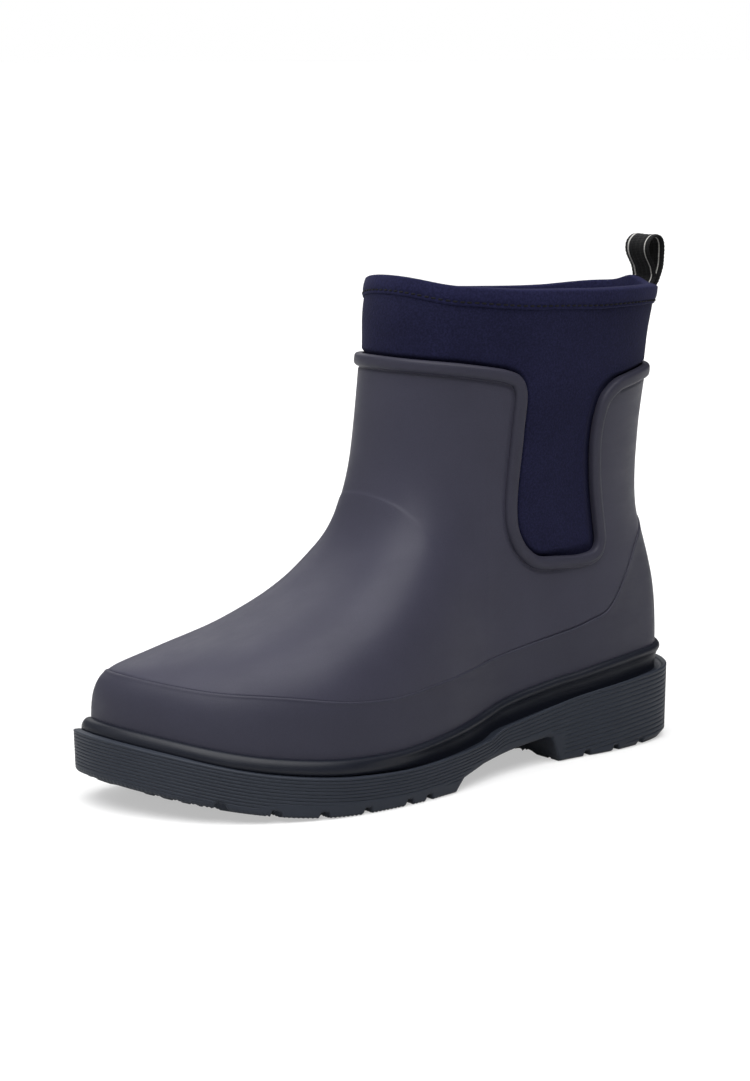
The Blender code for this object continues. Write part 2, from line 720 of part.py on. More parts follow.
def side_x(y, z):
    def place(r):
        return np.stack([r, y + 0 * r, z + 0 * r], -1)

    return solve(place, y.shape)[:, 0]


def edge_path(count):
    y, z = np.array(EDGE).T
    angle = np.arctan2(side_x(y, z), -(y - SHAFT_AXIS_Y))
    scale = 0.045  # metres per radian, so that the spacing is even
    front = [(0.0, EDGE_FRONT_Z)]
    side = [(a * scale, h) for a, h in zip(angle, z)]
    back = [(math.pi * scale, EDGE_BACK_Z)]
    turn = 2 * math.pi * scale
    other = [(turn - a * scale, h) for a, h in zip(angle[::-1], z[::-1])]
    start = [(-side[0][0], side[0][1])]
    finish = [(turn, EDGE_FRONT_Z), (turn + side[0][0], side[0][1])]
    whole = through(start + front + side + back + other + finish, 1600)
    inside = (whole[:, 0] >= 0) & (whole[:, 0] < turn)
    whole = whole[inside]
    points = shaft_point(whole[:, 0] / scale, whole[:, 1])
    run = np.r_[0, np.cumsum(np.linalg.norm(np.diff(points, axis=0), axis=1))]
    want = np.linspace(0, run[-1], count, endpoint=False)
    return np.stack([np.interp(want, run, points[:, k]) for k in range(3)], -1)


BINDING_SECTION = [
    (-0.0004, 0.0004), (-0.0004, 0.0014), (0.0010, 0.0019),
    (0.0038, 0.0019), (0.0050, 0.0012), (0.0050, 0.0004),
]


def build_binding(count=126):
    path = edge_path(count)
    along = np.roll(path, -1, 0) - np.roll(path, 1, 0)
    along /= np.linalg.norm(along, axis=1)[:, None]
    out = outward(path)
    inward = np.cross(along, out)
    inward /= np.linalg.norm(inward, axis=1)[:, None]
    front = int(np.argmin(path[:, 1]))
    if inward[front, 2] > 0:
        inward = -inward
    rings = []
    for across, height in BINDING_SECTION:
        spot = path + inward * across
        rings.append(spot + outward(spot) * (height - skin_gap(spot)))
    return make("shaft_binding", np.vstack(rings), grid_faces(len(rings), count, True, True), RUBBER_BINDING)


def skin_gap(points):
    """Distance of points outside the skin, by one step down its slope."""
    x, y, z = points.T
    e = 2e-4
    value = skin_value(x, y, z)
    slope = np.stack(
        [
            skin_value(x + e, y, z) - skin_value(x - e, y, z),
            skin_value(x, y + e, z) - skin_value(x, y - e, z),
            skin_value(x, y, z + e) - skin_value(x, y, z - e),
        ],
        -1,
    ) / (2 * e)
    return (value / np.linalg.norm(slope, axis=-1))[:, None]


build_binding()

# ---------------------------------------------------------------- stiffeners and lining
TOE_COLUMNS = [j for j in range(COLUMNS) if abs(FOOT_ANGLES[j]) < 0.62]
HEEL_COLUMNS = [j for j in range(COLUMNS) if FOOT_ANGLES[j] > 2.62]
HEEL_COLUMNS += [j for j in range(COLUMNS) if FOOT_ANGLES[j] < -2.62]
BOARD_LINE = FOOT_LINE + 0.003
toe_top = line_at(lambda y: 0.047 + 0 * y)
heel_top = line_at(lambda y: 0.070 + 0 * y)
lining_top = COLLAR_FOOT - 0.0006
toe_lines = even_lines(BOARD_LINE, toe_top, 4)
heel_lines = even_lines(BOARD_LINE, heel_top, 4)
lining_lines = even_lines(FOOT_LINE + 0.0005, lining_top, 6)
shell("toe_puff", STIFFENER_SHEET, toe_lines, STIFFENER[0], STIFFENER[1], TOE_COLUMNS)
shell("heel_stiffener", STIFFENER_SHEET, heel_lines, STIFFENER[0], STIFFENER[1], HEEL_COLUMNS)
shell("foot_lining", LINING_KNIT, lining_lines, LINING[0], LINING[1])


# ---------------------------------------------------------------- collar
def collar_outer(points):
    over = points[:, 2] - curve(TOP_LINE_Y, TOP_LINE_Z, points[:, 1])
    return (rubber_inner(points) - COLLAR_CLEARANCE) * (1 - step_up((over - 0.0015) / 0.009))


def collar_inner(points):
    return collar_outer(points) - NEOPRENE


collar_lines = even_lines(COLLAR_FOOT, RIM_LINE - 0.0022, 9)
shell("neoprene_collar", NEOPRENE_NAVY, collar_lines, collar_outer, collar_inner)

deep = RIM_LINE - HEM_HEIGHT
top = RIM_LINE
middle = (deep + top) / 2
skin_out = GAP + HEM_SKIN
skin_in = -NEOPRENE - GAP - HEM_SKIN
ring_sweep(
    "collar_hem",
    HEM_NAVY,
    [
        (deep, HEM_GAP),
        (deep, skin_out),
        (top - 0.0016, skin_out),
        (top - 0.0004, skin_out - 0.0008),
        (top, (skin_out + skin_in) / 2),
        (top - 0.0004, skin_in + 0.0008),
        (top - 0.0016, skin_in),
        (deep, skin_in),
        (deep, -NEOPRENE - HEM_GAP),
        (middle, -NEOPRENE - HEM_GAP),
        (top - 0.0018, -NEOPRENE - HEM_GAP),
        (top - 0.0018, HEM_GAP),
        (middle, HEM_GAP),
    ],
)
stitch = RIM_LINE - HEM_HEIGHT + 0.0015
thread_out = skin_out + 2 * GAP + THREAD_RADIUS
ring_sweep(
    "hem_thread",
    THREAD,
    [
        (stitch + THREAD_RADIUS * math.sin(a), thread_out + THREAD_RADIUS * math.cos(a))
        for a in np.linspace(0, 2 * math.pi, 4, endpoint=False)
    ],
)

# ---------------------------------------------------------------- pull loop
back_rim = SKIN[-1, int(np.argmax(SKIN[-1, :, 1]))]
INNER_LAYER = float(back_rim[1]) + skin_out + 2.2 * GAP + 2 * THREAD_RADIUS + WEB_THICKNESS / 2 + 0.0002
OUTER_LAYER = INNER_LAYER + WEB_THICKNESS + 0.0004
ROOT_Y = (INNER_LAYER + OUTER_LAYER) / 2
ROOT_Z = float(back_rim[2]) + LOOP_LIFT
LOOP_HINGE = (LOOP_X - CENTRE_X, ROOT_Y, ROOT_Z)


def ribbon(name, path, origin=None):
    """A strip of webbing along a path in the (y, z) plane."""
    path = np.asarray(path, float)
    along = np.gradient(path, axis=0)
    along /= np.linalg.norm(along, axis=1)[:, None]
    across = np.c_[along[:, 1], -along[:, 0]] * WEB_THICKNESS / 2
    outline = [tuple(p) for p in path + across] + [tuple(p) for p in (path - across)[::-1]]
    return prism(name, outline, LOOP_WIDTH / 2, WEBBING, centre=LOOP_X, origin=origin)


loop_path = through([(ROOT_Y + y, ROOT_Z + z) for y, z in LOOP_PATH], 34)
ribbon("pull_loop", loop_path, origin=LOOP_HINGE)
tab_top = float(back_rim[2]) - 0.0008
# Both ends of the webbing are sewn to the outside of the collar at its back, one over the other.
for name, y in (("loop_tab_inner", INNER_LAYER), ("loop_tab_outer", OUTER_LAYER)):
    path = [(y - 0.0019, tab_top - 0.0150), (y - 0.0004, tab_top - 0.0075), (y, tab_top)]
    ribbon(name, path)

bpy.context.view_layer.update()
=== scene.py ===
"""Looks of a left ankle boot in moulded rubber with a neoprene collar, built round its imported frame.

Metres, +Z up, toe towards -Y, outer side towards +X, standing on Z = 0.
"""

import math

import bmesh
import bpy
import numpy as np
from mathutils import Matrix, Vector, kdtree


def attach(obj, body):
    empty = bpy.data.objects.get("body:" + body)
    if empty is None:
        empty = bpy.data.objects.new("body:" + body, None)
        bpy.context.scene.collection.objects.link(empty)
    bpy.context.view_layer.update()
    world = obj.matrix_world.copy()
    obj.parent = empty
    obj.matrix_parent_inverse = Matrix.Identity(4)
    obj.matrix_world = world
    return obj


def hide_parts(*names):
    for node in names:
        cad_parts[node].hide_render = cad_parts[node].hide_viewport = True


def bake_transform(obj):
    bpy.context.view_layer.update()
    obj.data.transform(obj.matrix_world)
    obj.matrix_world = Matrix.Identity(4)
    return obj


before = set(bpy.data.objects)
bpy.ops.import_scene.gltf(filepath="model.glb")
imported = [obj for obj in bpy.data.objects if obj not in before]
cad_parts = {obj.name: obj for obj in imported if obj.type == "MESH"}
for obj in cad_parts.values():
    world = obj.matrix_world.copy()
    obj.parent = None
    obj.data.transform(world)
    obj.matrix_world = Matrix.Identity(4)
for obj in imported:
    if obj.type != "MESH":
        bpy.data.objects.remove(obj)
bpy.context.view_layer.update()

# ---------------------------------------------------------------- sizes, as in the CAD part
SOLE_OUTLINE = [
    (-0.0220, -0.1440), (0.0005, -0.1405), (0.0365, -0.1180), (0.0565, -0.0800),
    (0.0595, -0.0450), (0.0545, -0.0100), (0.0425, 0.0300), (0.0385, 0.0650),
    (0.0380, 0.1000), (0.0305, 0.1300), (0.0160, 0.1415), (0.0000, 0.1440),
    (-0.0160, 0.1415), (-0.0305, 0.1300), (-0.0380, 0.1000), (-0.0370, 0.0650),
    (-0.0335, 0.0300), (-0.0395, -0.0100), (-0.0470, -0.0450), (-0.0490, -0.0750),
    (-0.0475, -0.1050), (-0.0440, -0.1255), (-0.0365, -0.1395),
]
CENTRE_X = 0.0052
FLANGE_Y = [-0.144, -0.10, -0.045, 0.03, 0.09, 0.144]
FLANGE_Z = [0.0305, 0.0200, 0.0160, 0.0245, 0.0310, 0.0340]
TOE_SPRING = 0.0125
SPRING_START = -0.060
UPPER_INSET = 0.0058
TOE_LEDGE = 0.0018
UPPER_RISE = 0.0075
RIDGE_Y = [-0.140, -0.120, -0.100, -0.070, -0.040, -0.010, 0.030, 0.080, 0.140]
RIDGE_Z = [0.0685, 0.0640, 0.0655, 0.0730, 0.0895, 0.1185, 0.1330, 0.1365, 0.1320]
SIDE_POWER = 3.10
TOE_POWER = 6.0
CROWN_POWER = 3.22
FOOT_CENTRE = (0.0, -0.030)
LEVELS = [0.02, 0.05, 0.08, 0.11, 0.14, 0.17, 0.20, 0.23]
SHAFT_FRONT = [0.0270, 0.0125, -0.0015, -0.0120, -0.0140, -0.0105, -0.0070, 0.0020]
SHAFT_BACK = [0.1380, 0.1360, 0.1335, 0.1275, 0.1275, 0.1310, 0.1345, 0.1430]
SHAFT_HALF = [0.0330, 0.0360, 0.0375, 0.0385, 0.0410, 0.0435, 0.0455, 0.0470]
SHAFT_POWER = 2.25
SHAFT_AXIS_Y = 0.060
SHAFT_RADIUS = 0.045
SHAFT_MIDDLE_Y = 0.066
RIM_Y = [-0.010, 0.006, 0.020, 0.050, 0.110, 0.140]
RIM_Z = [0.2155, 0.2095, 0.2070, 0.2050, 0.2030, 0.2035]
# The rim stands this much higher on the outer side, and lower on the inner one.
RIM_TILT = [0.0, 0.0005, 0.0015, 0.0020, 0.0020, 0.0]
RIM_TILT_HALF = 0.035
GUARD_Y = [
    -0.140, -0.118, -0.092, -0.057, -0.038, -0.016, 0.011,
    0.048, 0.080, 0.092, 0.104, 0.112, 0.122, 0.130,
]
GUARD_Z = [
    0.0570, 0.0525, 0.0500, 0.0455, 0.0450, 0.0470, 0.0495,
    0.0545, 0.0605, 0.0645, 0.0790, 0.0900, 0.0980, 0.1040,
]
LAP_Y = [-0.0190, -0.0150, -0.0090, 0.0000, 0.0100, 0.0200, 0.0300]
LAP_Z = [0.1205, 0.1160, 0.1050, 0.0870, 0.0660, 0.0420, 0.0250]
EDGE = [
    (0.0045, 0.1770), (0.0215, 0.1745), (0.0285, 0.1730), (0.0340, 0.1705), (0.0370, 0.1650),
    (0.0365, 0.1465), (0.0350, 0.1150), (0.0365, 0.1045), (0.0410, 0.0970), (0.0480, 0.0920),
    (0.0605, 0.0905), (0.0740, 0.0900), (0.0810, 0.0915), (0.0830, 0.0950), (0.0825, 0.1015),
    (0.0780, 0.1260), (0.0770, 0.1405), (0.0785, 0.1510), (0.0820, 0.1595), (0.0900, 0.1650),
    (0.0995, 0.1670), (0.1140, 0.1685),
]
EDGE_LOWEST_Z = 0.082  # lower than the windows' binding
FAR_FROM_EDGE = 0.030
EDGE_FRONT_Z = 0.1785
EDGE_BACK_Z = 0.1690
TOP_LINE_Y = [-0.010, 0.021, 0.034, 0.090, 0.130]
TOP_LINE_Z = [0.1790, 0.1755, 0.1740, 0.1700, 0.1700]
UPPER_LIFT = 0.0006
RUBBER = 0.0018
RUBBER_UNDER_GUARD = -0.0012
NEOPRENE = 0.0030
COLLAR_CLEARANCE = 0.0011
COLLAR_FOOT_Z = 0.0820
HEM_HEIGHT = 0.0085
HEM_SKIN = 0.0010
GAP = 0.0003
WEB_THICKNESS = 0.0013
LOOP_X = 0.0040
FOOTBED_INSET = 0.0081

# Finer sizes that only the looks need.
OVER_EDGE = 0.012  # how far the leg's grid runs past the rubber's top edge, before it is cut there
COLUMNS = 480
FINE_ROWS = 260
SOLE_POINTS = 1500
RIB_PITCH_FRONT = 0.00142
RIB_PITCH_HEEL = 0.00205
RIB_DEPTH = 0.00034
RIB_COUNT = 14
RAY_START = 0.003
RAY_END = 0.260
MERGE_DISTANCE = 3e-6
STRIPE_AT = 0.0053  # from the middle of the webbing to each pale stripe
STRIPE_HALF = 0.00036
# The Scale of a wave texture whose bands are one metre apart.
WAVE_UNIT = 0.314


# ---------------------------------------------------------------- curves
def curve(xs, ys, x):
    """Smooth curve through the points (xs, ys), read at x and held at its ends."""
    xs = np.asarray(xs, float)
    ys = np.asarray(ys, float)
    slope = np.gradient(ys, xs)
    x = np.clip(x, xs[0], xs[-1])
    i = np.clip(np.searchsorted(xs, x) - 1, 0, len(xs) - 2)
    h = xs[i + 1] - xs[i]
    t = (x - xs[i]) / h
    start = (1 + 2 * t) * (1 - t) ** 2 * ys[i] + t * (1 - t) ** 2 * h * slope[i]
    return start + t * t * (3 - 2 * t) * ys[i + 1] + t * t * (t - 1) * h * slope[i + 1]


def through(points, count, closed=False):
    """Evenly spaced points on a smooth curve through the given ones."""
    p = np.asarray(points, float)
    n = len(p)
    if closed:
        full = np.vstack([p[-1:], p, p[:2]])
        spans = n
    else:
        full = np.vstack([2 * p[:1] - p[1:2], p, 2 * p[-1:] - p[-2:-1]])
        spans = n - 1
    dense = []
    t = np.linspace(0, 1, 64, endpoint=False)[:, None]
    for i in range(spans):
        a, b, c, d = full[i], full[i + 1], full[i + 2], full[i + 3]
        h0 = max(np.linalg.norm(b - a), 1e-9) ** 0.5
        h1 = max(np.linalg.norm(c - b), 1e-9) ** 0.5
        h2 = max(np.linalg.norm(d - c), 1e-9) ** 0.5
        m1 = h1 * ((b - a) / h0 - (c - a) / (h0 + h1) + (c - b) / h1)
        m2 = h1 * ((c - b) / h1 - (d - b) / (h1 + h2) + (d - c) / h2)
        start = (1 + 2 * t) * (1 - t) ** 2 * b + t * (1 - t) ** 2 * m1
        dense.append(start + t * t * (3 - 2 * t) * c + t * t * (t - 1) * m2)
    dense = np.vstack(dense + [p[:1] if closed else p[-1:]])
    run = np.r_[0, np.cumsum(np.linalg.norm(np.diff(dense, axis=0), axis=1))]
    want = np.linspace(0, run[-1], count, endpoint=not closed)
    return np.stack([np.interp(want, run, dense[:, k]) for k in range(dense.shape[1])], -1)


def step_up(t):
    t = np.clip(t, 0.0, 1.0)
    return t * t * (3 - 2 * t)


def bump(t):
    """A round bump, 1 at t = 0 and fading past 1."""
    return np.exp(-t * t)


def rounding(down, radius, full=0.98):
    """A rounded corner's fall, from 0 at radius below its top to nearly 1 at the top."""
    return 1 - np.sqrt(1 - full * np.clip(1 - down / radius, 0, 1) ** 2)


def inset(outline, distance):
    """An outline moved in by a distance, one for all or one for each point."""
    along = np.roll(outline, -1, 0) - np.roll(outline, 1, 0)
    along /= np.linalg.norm(along, axis=1)[:, None]
    return outline - np.c_[along[:, 1], -along[:, 0]] * np.reshape(distance, (-1, 1))


def wobble(t, seed, amount):
    """Slow uneven change along a ring, t from 0 to 2 pi. It closes on itself."""
    maker = np.random.default_rng(seed)
    total = np.zeros_like(t)
    for k in range(2, 11):
        total += maker.normal() / k * np.sin(k * t + maker.uniform(0, 2 * math.pi))
    return amount * total


# ---------------------------------------------------------------- boot skin
SOLE = through(SOLE_OUTLINE, SOLE_POINTS, closed=True)
SOLE_RING = through(SOLE_OUTLINE, 240, closed=True)
LEDGE = UPPER_INSET + TOE_LEDGE * step_up((-0.112 - SOLE_RING[:, 1]) / 0.026)
UPPER_FOOT = inset(SOLE_RING, LEDGE)


def flange(y):
    return curve(FLANGE_Y, FLANGE_Z, y)


def ground(y):
    """Underside of the sole: flat, rising at the toe."""
    return TOE_SPRING * np.clip((SPRING_START - y) / (SPRING_START + 0.144), 0, None) ** 2


def polar_of(outline, centre):
    """An outline as angles from the toe and distances from a centre, a little more than once round."""
    away = outline - np.array(centre)
    angle = np.arctan2(away[:, 0], -away[:, 1])
    order = np.argsort(angle)
    angle = angle[order]
    radius = np.hypot(away[:, 0], away[:, 1])[order]
    angle = np.r_[angle[-8:] - 2 * math.pi, angle, angle[:8] + 2 * math.pi]
    return angle, np.r_[radius[-8:], radius, radius[:8]]


FOOT_ANGLE, FOOT_RADIUS = polar_of(through(UPPER_FOOT, 960, closed=True), FOOT_CENTRE)


def skin_value(x, y, z):
    """Below zero inside the boot: the foot's body blended with the shaft."""
    dx = x - FOOT_CENTRE[0]
    dy = y - FOOT_CENTRE[1]
    angle = np.arctan2(dx, -dy)
    out = np.hypot(dx, dy) / np.interp(angle, FOOT_ANGLE, FOOT_RADIUS)
    power = SIDE_POWER + (TOE_POWER - SIDE_POWER) * np.clip(np.cos(angle), 0, 1) ** 6
    base = flange(y) + UPPER_RISE - 0.004
    up = np.maximum(z - base, 0) / np.maximum(curve(RIDGE_Y, RIDGE_Z, y) - base, 0.01)
    foot = ((out**power + up**CROWN_POWER) ** (2 / (power + CROWN_POWER)) - 1) * 0.040
    front = curve(LEVELS, SHAFT_FRONT, z)
    back = curve(LEVELS, SHAFT_BACK, z)
    half = curve(LEVELS, SHAFT_HALF, z)
    across = np.abs(x / half) ** SHAFT_POWER
    along = np.abs((y - (front + back) / 2) / ((back - front) / 2)) ** SHAFT_POWER
    shaft = ((across + along) ** (1 / SHAFT_POWER) - 1) * 0.045
    blend = 0.016 - 0.014 * np.clip((y - 0.02) / 0.05, 0, 1)
    share = np.clip(0.5 + 0.5 * (shaft - foot) / blend, 0, 1)
    return shaft * (1 - share) + foot * share - blend * share * (1 - share)


def skin_slope(points):
    """How skin_value changes along each axis."""
    x, y, z = np.moveaxis(points, -1, 0)
    e = 2e-4
    return np.stack(
        [
            skin_value(x + e, y, z) - skin_value(x - e, y, z),
            skin_value(x, y + e, z) - skin_value(x, y - e, z),
            skin_value(x, y, z + e) - skin_value(x, y, z - e),
        ],
        -1,
    ) / (2 * e)


def outward(points):
    """Unit directions out of the boot's skin."""
    slope = skin_slope(points)
    return slope / np.linalg.norm(slope, axis=-1, keepdims=True)


def solve(place, shape):
    """Finds where each ray leaves the boot. place(r) gives the points at distance r."""
    low = np.full(shape, RAY_START)
    high = np.full(shape, RAY_END)
    for _ in range(26):
        middle = (low + high) / 2
        inside = skin_value(*np.moveaxis(place(middle), -1, 0)) < 0
        low = np.where(inside, middle, low)
        high = np.where(inside, high, middle)
    return place((low + high) / 2)


def rim_height(x, y):
    return curve(RIM_Y, RIM_Z, y) + curve(RIM_Y, RIM_TILT, y) * np.clip(x / RIM_TILT_HALF, -1, 1)


def spread(ring, angle):
    """Angles that spread the columns along a ring, closer together where it bends."""
    step = np.diff(ring, axis=0)
    length = np.linalg.norm(step, axis=1)
    heading = np.unwrap(np.arctan2(step[:, 1], step[:, 0]))
    bend = np.abs(np.gradient(heading)) / length
    weight = length * (1 + 0.030 * np.clip(bend, 0, 60))
    weight = np.convolve(np.r_[weight[-10:], weight, weight[:10]], np.ones(21) / 21, "valid")
    run = np.r_[0, np.cumsum(weight)]
    return np.interp(np.linspace(0, run[-1], COLUMNS, endpoint=False), run, angle)


def column_angles():
    """Each column's angle at the foot's edge and at the rim."""
    angle = np.linspace(-math.pi, math.pi, 721)
    radius = np.interp(angle, *polar_of(UPPER_FOOT, (0.0, 0.0)))
    foot = np.stack([radius * np.sin(angle), -radius * np.cos(angle)], -1)
    rim = np.stack([0.046 * np.sin(angle), -0.070 * np.cos(angle)], -1)
    return spread(foot, angle), spread(rim, angle)


FOOT_ANGLES, RIM_ANGLES = column_angles()


def skin_columns():
    """Fine points up each column of the skin, from the sole to the rim."""
    share = np.linspace(0, 1, FINE_ROWS)[:, None] ** 1.3
    climb = step_up(share / 0.55)
    axis_y = SHAFT_MIDDLE_Y * climb
    angle = FOOT_ANGLES + (RIM_ANGLES - FOOT_ANGLES) * climb
    sine = np.sin(angle)
    cosine = np.cos(angle)

    def place(r):
        y = axis_y - r * cosine
        low = flange(y) + UPPER_LIFT
        return np.stack([r * sine, y, low + (rim_height(r * sine, y) - low) * share], -1)

    return solve(place, (FINE_ROWS, COLUMNS))


SKIN = skin_columns()
STEPS = np.linalg.norm(np.diff(SKIN, axis=0), axis=2)
RUN = np.concatenate([np.zeros((1, COLUMNS)), np.cumsum(STEPS, axis=0)])
RIM_LINE = RUN[-1]
ROUND = np.linspace(0, 2 * math.pi, COLUMNS, endpoint=False)


def line_at(height):
    """Distance up each column where it crosses a height given as a function of y."""
    over = SKIN[:, :, 2] - height(SKIN[:, :, 1])
    found = np.empty(COLUMNS)
    for j in range(COLUMNS):
        i = int(np.argmax(over[:, j] > 0))
        if i == 0:
            found[j] = 0.0 if over[0, j] > 0 else RUN[-1, j]
            continue
        t = -over[i - 1, j] / (over[i, j] - over[i - 1, j])
        found[j] = RUN[i - 1, j] + t * (RUN[i, j] - RUN[i - 1, j])
    return found


def on_skin(run):
    """Skin points and normals at distances run (rows, columns) up each column."""
    place = np.empty(run.shape + (3,))
    for j in range(COLUMNS):
        for axis in range(3):
            place[:, j, axis] = np.interp(run[:, j], RUN[:, j], SKIN[:, j, axis])
    for _ in range(2):
        slope = skin_slope(place)
        value = skin_value(*np.moveaxis(place, -1, 0))[..., None]
        place = place - slope * value / (slope**2).sum(-1, keepdims=True)
    return place, outward(place)


def smooth_ring(line, times=3):
    """Values round a closed ring, each averaged with its neighbours."""
    for _ in range(times):
        line = (np.roll(line, 1) + 2 * line + np.roll(line, -1)) / 4
    return line


GUARD_LINE = smooth_ring(line_at(lambda y: curve(GUARD_Y, GUARD_Z, y)))
LAP_LINE = line_at(lambda y: curve(LAP_Y, LAP_Z, y))
TOP_LINE = line_at(lambda y: curve(TOP_LINE_Y, TOP_LINE_Z, y) + OVER_EDGE)
COLLAR_FOOT = line_at(lambda y: COLLAR_FOOT_Z + 0 * y)


# ---------------------------------------------------------------- mesh makers
def signed_volume(points, faces):
    """Above zero where the faces look outwards."""
    a, b, c, d = (points[faces[:, k]] for k in range(4))
    return float((np.cross(a, b) * c + np.cross(a, c) * d).sum())


def merge_close(mesh):
    """Joins points that fall together, so that no face has zero size."""
    grid = bmesh.new()
    grid.from_mesh(mesh)
    bmesh.ops.remove_doubles(grid, verts=grid.verts, dist=MERGE_DISTANCE)
    bmesh.ops.dissolve_degenerate(grid, edges=grid.edges, dist=MERGE_DISTANCE)
    grid.to_mesh(mesh)
    grid.free()


def make(name, points, faces, slot, normals=None):
    """A piece from points in boot coordinates and an array of four-cornered faces."""
    points = np.asarray(points, float) - np.array([CENTRE_X, 0.0, 0.0])
    faces = np.asarray(faces, np.int64)
    used, index = np.unique(faces, return_inverse=True)
    faces = index.reshape(faces.shape).astype(np.int32)
    points = points[used]
    if signed_volume(points, faces) < 0:
        faces = faces[:, ::-1]
    mesh = bpy.data.meshes.new(name)
    mesh.vertices.add(len(points))
    mesh.vertices.foreach_set("co", points.astype(np.float32).ravel())
    mesh.loops.add(faces.size)
    mesh.loops.foreach_set("vertex_index", faces.ravel())
    mesh.polygons.add(len(faces))
    mesh.polygons.foreach_set("loop_start", np.arange(0, faces.size, 4, dtype=np.int32))
    mesh.update(calc_edges=True)
    mesh.validate()
    if normals is None:
        merge_close(mesh)
    mesh.polygons.foreach_set("use_smooth", np.ones(len(mesh.polygons), bool))
    if normals is not None:
        mesh.normals_split_custom_set_from_vertices(normals[used].tolist())
    mesh.materials.append(slot)
    piece = bpy.data.objects.new(name, mesh)
    bpy.context.scene.collection.objects.link(piece)
    return piece


def grid_quads(rows, size, close_rows=False):
    """Faces of rows of points, each row a closed ring of size points."""
    i, j = np.meshgrid(np.arange(rows if close_rows else rows - 1), np.arange(size), indexing="ij")
    k = (j + 1) % size
    up = (i + 1) % rows
    return np.stack([i * size + j, i * size + k, up * size + k, up * size + j], -1).reshape(-1, 4)


def ring_sweep(name, slot, rings):
    """A closed tube: rings is (section points, columns, 3), closed both ways."""
    count, size = rings.shape[:2]
    return make(name, rings.reshape(-1, 3), grid_quads(count, size, close_rows=True), slot)


def stack(name, slot, rings, ends):
    """A closed piece from rings of equal size. Fans round two end points close the first and the last."""
    count = len(rings[0])
    points = np.vstack([*rings, *ends])
    odd = np.arange(0, count, 2)
    first = np.arange(count)[::-1]
    last = (len(rings) - 1) * count + np.arange(count)
    faces = [grid_quads(len(rings), count)]
    for ring, tip in ((first, len(points) - 2), (last, len(points) - 1)):
        corners = [ring[odd], ring[(odd + 1) % count], ring[(odd + 2) % count], np.full(len(odd), tip)]
        faces.append(np.stack(corners, -1))
    return make(name, points, np.concatenate(faces), slot)


def plate(name, slot, outer, inner, keep, normals=None):
    """A closed sheet from two matching grids, with the cells that keep marks."""
    rows, size = outer.shape[:2]
    i, j = np.nonzero(keep)
    k = (j + 1) % size
    top = np.stack([i * size + j, i * size + k, (i + 1) * size + k, (i + 1) * size + j], -1)
    base = rows * size
    faces = [top, top[:, ::-1] + base]
    below = keep & ~np.vstack([np.zeros((1, size), bool), keep[:-1]])
    above = keep & ~np.vstack([keep[1:], np.zeros((1, size), bool)])
    before = keep & ~np.roll(keep, 1, 1)
    after = keep & ~np.roll(keep, -1, 1)
    for mask, ends in ((below, (0, 1)), (after, (1, 2)), (above, (2, 3)), (before, (3, 0))):
        i, j = np.nonzero(mask)
        k = (j + 1) % size
        corner = [i * size + j, i * size + k, (i + 1) * size + k, (i + 1) * size + j]
        a, b = corner[ends[0]], corner[ends[1]]
        faces.append(np.stack([b, a, a + base, b + base], -1))
    points = np.concatenate([outer.reshape(-1, 3), inner.reshape(-1, 3)])
    if normals is not None:
        flat = normals.reshape(-1, 3)
        normals = np.concatenate([flat, -flat])
    return make(name, points, np.concatenate(faces), slot, normals)


def grid_normals(points):
    """Unit normals of a grid of points whose rows are closed rings."""
    around = np.roll(points, -1, 1) - np.roll(points, 1, 1)
    up = np.gradient(points, axis=0)
    normal = np.cross(around, up)
    return normal / np.maximum(np.linalg.norm(normal, axis=-1, keepdims=True), 1e-12)


# ---------------------------------------------------------------- materials
def shader_of(name, roughness, metallic=0.0, sheen=0.0, sheen_rough=0.4, specular=0.5):
    slot = bpy.data.materials.new(name)
    slot.use_nodes = True
    tree = slot.node_tree
    shader = tree.nodes["Principled BSDF"]
    shader.inputs["Roughness"].default_value = roughness
    shader.inputs["Metallic"].default_value = metallic
    shader.inputs["Sheen Weight"].default_value = sheen
    shader.inputs["Sheen Roughness"].default_value = sheen_rough
    shader.inputs["Specular IOR Level"].default_value = specular
    place = tree.nodes.new("ShaderNodeTexCoord")
    return slot, tree, shader, place.outputs["Object"]


def noise(tree, place, scale, detail=3.0, rough=0.55):
    node = tree.nodes.new("ShaderNodeTexNoise")
    node.inputs["Scale"].default_value = scale
    node.inputs["Detail"].default_value = detail
    node.inputs["Roughness"].default_value = rough
    tree.links.new(place, node.inputs["Vector"])
    return node.outputs["Fac"]


def stretched(tree, place, scale):
    node = tree.nodes.new("ShaderNodeMapping")
    node.inputs["Scale"].default_value = scale
    tree.links.new(place, node.inputs["Vector"])
    return node.outputs["Vector"]


def ramp(tree, factor, stops):
    node = tree.nodes.new("ShaderNodeValToRGB")
    marks = node.color_ramp.elements
    while len(marks) < len(stops):
        marks.new(0.5)
    for mark, (at, colour) in zip(marks, stops):
        mark.position = at
        mark.color = (*colour, 1.0)
    tree.links.new(factor, node.inputs["Fac"])
    return node.outputs["Color"]


def spread_value(tree, factor, low, high, start=0.3, end=0.7):
    node = tree.nodes.new("ShaderNodeMapRange")
    node.inputs["From Min"].default_value = start
    node.inputs["From Max"].default_value = end
    node.inputs["To Min"].default_value = low
    node.inputs["To Max"].default_value = high
    tree.links.new(factor, node.inputs["Value"])
    return node.outputs["Result"]


def mixed(tree, factor, first, second, kind="MIX"):
    """Two colours mixed by factor, which is a socket or 1."""
    node = tree.nodes.new("ShaderNodeMix")
    node.data_type = "RGBA"
    node.blend_type = kind
    if factor == 1:
        node.inputs[0].default_value = 1.0
    else:
        tree.links.new(factor, node.inputs[0])
    tree.links.new(first, node.inputs[6])
    tree.links.new(second, node.inputs[7])
    return node.outputs[2]


